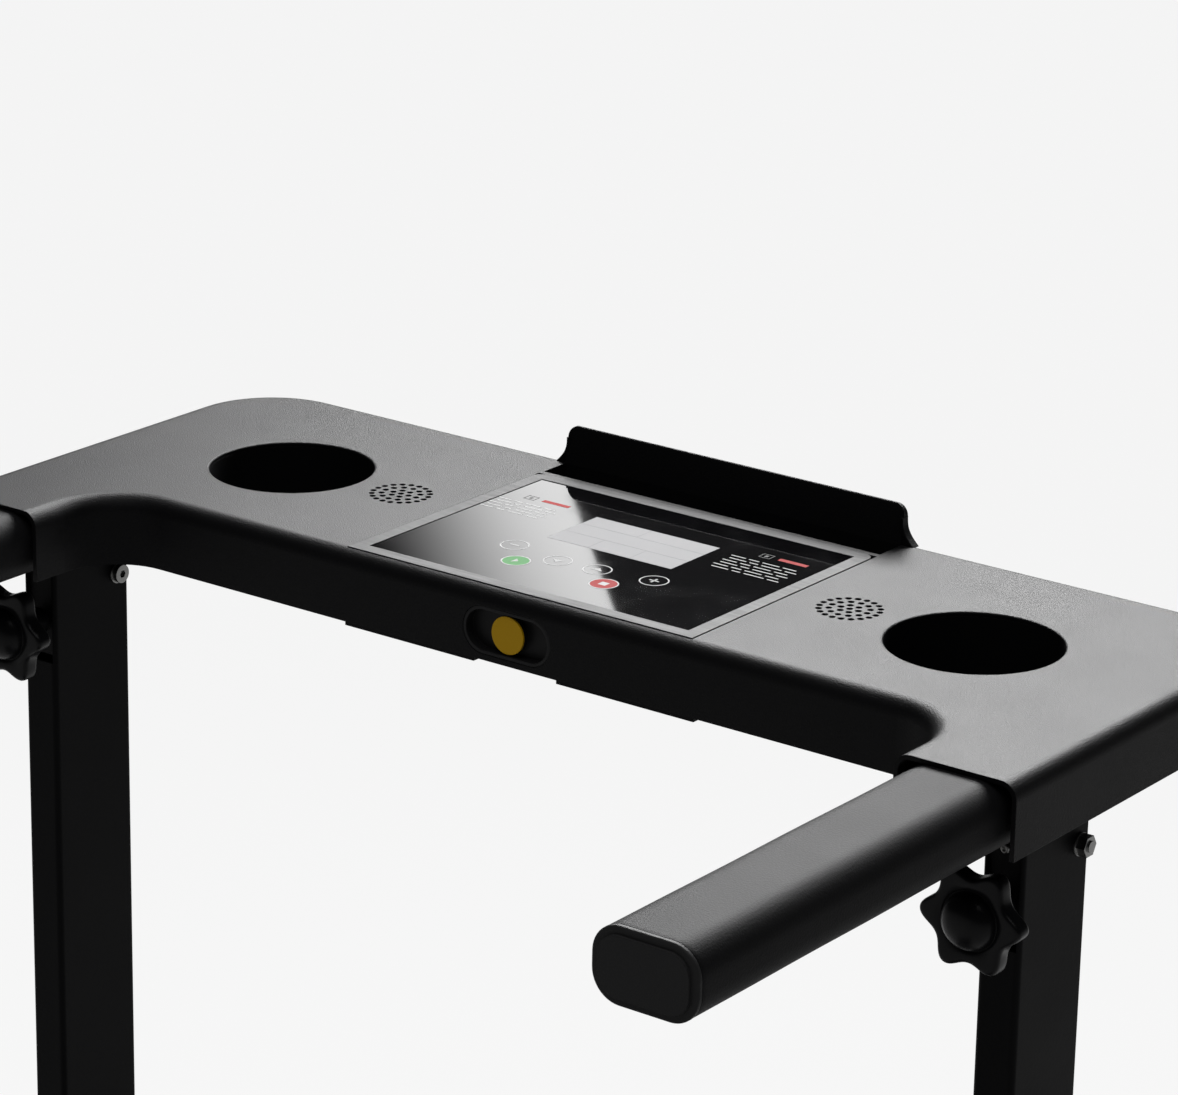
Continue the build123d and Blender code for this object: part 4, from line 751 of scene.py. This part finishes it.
def add_hood_screws(low, high):
    """Two pan-head screws in each flank of the hood."""
    front, back = HOOD_SCREW_INSETS
    for side, sign in SIDES.items():
        for number, y in ((1, low.y + front), (2, high.y - back)):
            rings = [
                [(sign * (high.x + out * MM), y + along * MM, HOOD_SCREW_HEIGHT + up * MM)
                 for along, up in circle(radius, SCREW_STEPS)]
                for radius, out in HOOD_SCREW_PROFILE
            ]
            new_piece(f"hood_screw_{side}_{number}", lofted(rings), FINISHES["zinc_steel"], "base")


def add_hood_details():
    low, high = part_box("motor_hood")
    add_hood_vents(high)
    add_hood_seams(low, high)
    add_hood_screws(low, high)


def add_foot_rail_grips():
    """Raised grip pads on the foot rails, set like a chessboard."""
    for side, sign in SIDES.items():
        low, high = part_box("foot_rail_" + side)
        length = high.y - low.y - 2 * PAD_INSET
        pads = []
        for row in range(PAD_ROWS):
            y = low.y + PAD_INSET + length * row / (PAD_ROWS - 1)
            for column in range(PAD_COLUMNS):
                if (row + column) % 2:
                    x = sign * (PAD_INNER_X + PAD_PITCH * column)
                    pads.append(box_round(x, y, PAD_REACH, PAD_REACH, high.z - PRINT_SINK, high.z + PAD_RISE))
        new_piece("foot_rail_pads_" + side, plates(pads), FINISHES["rubber"], "base", smooth=False)


def add_belt_lines():
    """The walking belt's bonded joint, a slanting line across it, and a line along each edge."""
    low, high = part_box("walking_belt")
    reach = (high.x - low.x) / 2 - JOINT_MARGIN
    shape = bmesh.new()
    corners = ((-reach, JOINT_START), (reach, JOINT_END), (reach, JOINT_END + JOINT_WIDTH),
               (-reach, JOINT_START + JOINT_WIDTH))
    shape.faces.new([shape.verts.new((x, y, high.z + JOINT_RISE)) for x, y in corners])
    new_piece("belt_seam", as_mesh(shape), INKS["dark"], "base", smooth=False)
    front, back = low.y + EDGE_LINE_INSETS[0], high.y - EDGE_LINE_INSETS[1]
    lines = [
        box_round(sign * (reach - EDGE_LINE_MARGIN), (front + back) / 2, EDGE_LINE_REACH, (back - front) / 2,
                  high.z, high.z + PRINT_SINK)
        for sign in SIDES.values()
    ]
    new_piece("belt_edge_lines", plates(lines), INKS["grey"], "base", smooth=False)


def add_wheel_treads():
    """Fine ribs round the transport wheels."""
    for side in SIDES:
        low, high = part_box("transport_wheel_" + side)
        centre = (low + high) / 2
        reach = (high.z - low.z) / 2 - TREAD_SINK
        shape = bmesh.new()
        for step in range(TREAD_RIBS):
            for vertex in bmesh.ops.create_cube(shape, size=1.0)["verts"]:
                across, along, out = vertex.co
                radial = reach + out * TREAD_DEPTH
                angle = TURN * step / TREAD_RIBS + along * TREAD_SWING
                vertex.co = centre + Vector((across * TREAD_WIDTH, radial * math.cos(angle),
                                             radial * math.sin(angle)))
        new_piece("wheel_tread_" + side, as_mesh(shape), FINISHES["rubber"], "wheel_" + side,
                  smooth=False)


# ---------------------------------------------------------------- camera, light and floor, in metres
CAMERA_PLACE = (1.3549, -1.3943, 1.8158)
# Degrees: to the left of +Y, below the horizon, and round the line of sight
CAMERA_TURN, CAMERA_DROP, CAMERA_ROLL = 36.621, 18.688, 1.045
CAMERA_LENS = 139.71
CAMERA_SENSOR = 36.0

CARD_SIZE = (0.36, 0.62)
CARD_POWER = 2.5
CARD_UP = Vector((0.454, 0, 0.891))
CARD_RIGHT = Vector((0.891, 0, -0.454))
CARD_EDGE_MIDDLE = Vector((-1.91, 3.0, 2.112))

# The floor glows round a middle far behind the object, and less beyond a distance from there; each pair is
# near and far
GLOW_MIDDLE = (-2.37, 3.6, 0.0)
GLOW_REACH = (2.9, 4.6)
FLOOR_GLOW = (0.905, 0.4)
FLOOR_REACH = 40.0
FAR_FLOOR_COLOUR = (0.2, 0.2, 0.2)
WORLD_STRENGTH = 0.03


def add_camera():
    turn, drop, roll = (math.radians(angle) for angle in (CAMERA_TURN, CAMERA_DROP, CAMERA_ROLL))
    view = Vector((-math.sin(turn) * math.cos(drop), math.cos(turn) * math.cos(drop), -math.sin(drop)))
    level = Vector((math.cos(turn), math.sin(turn), 0))
    upright = level.cross(view)
    right = level * math.cos(roll) + upright * math.sin(roll)
    up = upright * math.cos(roll) - level * math.sin(roll)
    data = bpy.data.cameras.new("camera")
    data.sensor_width = CAMERA_SENSOR
    data.lens = CAMERA_LENS
    camera = bpy.data.objects.new("camera", data)
    rotation = Matrix((right, up, -view)).transposed().to_4x4()
    camera.matrix_world = Matrix.Translation(CAMERA_PLACE) @ rotation
    bpy.context.scene.collection.objects.link(camera)
    bpy.context.scene.camera = camera


def area_light(name, size, power):
    """A rectangular light that the camera doesn't see, shining along its own -Z."""
    data = bpy.data.lights.new(name, "AREA")
    data.shape = "RECTANGLE"
    data.size, data.size_y = size
    data.energy = power
    light = bpy.data.objects.new(name, data)
    light.visible_camera = False
    bpy.context.scene.collection.objects.link(light)
    return light


def add_softbox(name, place, target, size, power):
    """A light that is aimed at a point."""
    light = area_light(name, size, power)
    light.location = place
    light.rotation_euler = (Vector(target) - Vector(place)).to_track_quat("-Z", "Y").to_euler()


def add_card():
    """A bright card behind, which fades to one side and whose slanted edge shows in the panel's glass."""
    light = area_light("glass_card", CARD_SIZE, CARD_POWER)
    axes = Matrix((-CARD_RIGHT, CARD_UP, CARD_UP.cross(CARD_RIGHT))).transposed().to_4x4()
    light.matrix_world = Matrix.Translation(CARD_EDGE_MIDDLE - CARD_RIGHT * CARD_SIZE[0] / 2) @ axes
    light.data.use_nodes = True
    nodes = light.data.node_tree.nodes
    links = light.data.node_tree.links
    place = nodes.new("ShaderNodeNewGeometry")
    parts = nodes.new("ShaderNodeSeparateXYZ")
    fade = nodes.new("ShaderNodeMapRange")
    fade.interpolation_type = "SMOOTHSTEP"
    fade.inputs["To Min"].default_value = 1.0
    fade.inputs["To Max"].default_value = 0.0
    links.new(place.outputs["Parametric"], parts.inputs[0])
    links.new(parts.outputs["X"], fade.inputs["Value"])
    links.new(fade.outputs["Result"], nodes["Emission"].inputs["Strength"])


def add_floor():
    """A plain pale floor whose own glow carries it to the horizon."""
    mesh = bpy.data.meshes.new("floor")
    corners = [(x * FLOOR_REACH, y * FLOOR_REACH, 0) for x, y in ((-1, -1), (1, -1), (1, 1), (-1, 1))]
    mesh.from_pydata(corners, [], [(0, 1, 2, 3)])
    floor = bpy.data.objects.new("floor", mesh)
    bpy.context.scene.collection.objects.link(floor)
    finish = Finish("floor", (0.012, 0.012, 0.012), 1.0, ior=1.01)
    finish.set(Emission_Color=WHITE)
    away = finish.add("ShaderNodeVectorMath", operation="DISTANCE")
    finish.link(finish.place, away.inputs[0])
    away.inputs[1].default_value = GLOW_MIDDLE
    distance = away.outputs["Value"]
    finish.tint(finish.ranged(distance, *GLOW_REACH), FAR_FLOOR_COLOUR)
    finish.link(finish.ranged(distance, *GLOW_REACH, *FLOOR_GLOW), finish.shader.inputs["Emission Strength"])
    mesh.materials.append(finish.material)


def add_world():
    world = bpy.data.worlds.new("studio")
    world.use_nodes = True
    background = world.node_tree.nodes["Background"]
    background.inputs["Color"].default_value = WHITE
    background.inputs["Strength"].default_value = WORLD_STRENGTH
    bpy.context.scene.world = world


# ---------------------------------------------------------------- the whole scene
dress_cad_nodes()
add_grips()
add_star_knobs()
add_tongue_screws()
add_display()
add_keys()
add_notices()
add_rest_feet()
add_cup_lips()
add_hood_details()
add_foot_rail_grips()
add_belt_lines()
add_wheel_treads()
add_camera()
add_world()
add_floor()
add_softbox("back_softbox", (-0.58, 1.85, 2.2), (0.26, 0.4, DESK_TOP), size=(1.5, 1.0), power=148)
add_softbox("top_softbox", (0.3, -0.3, 4.0), (0, 0, 0), size=(3.0, 3.0), power=60)
add_card()
bpy.context.scene.view_settings.view_transform = "Standard"
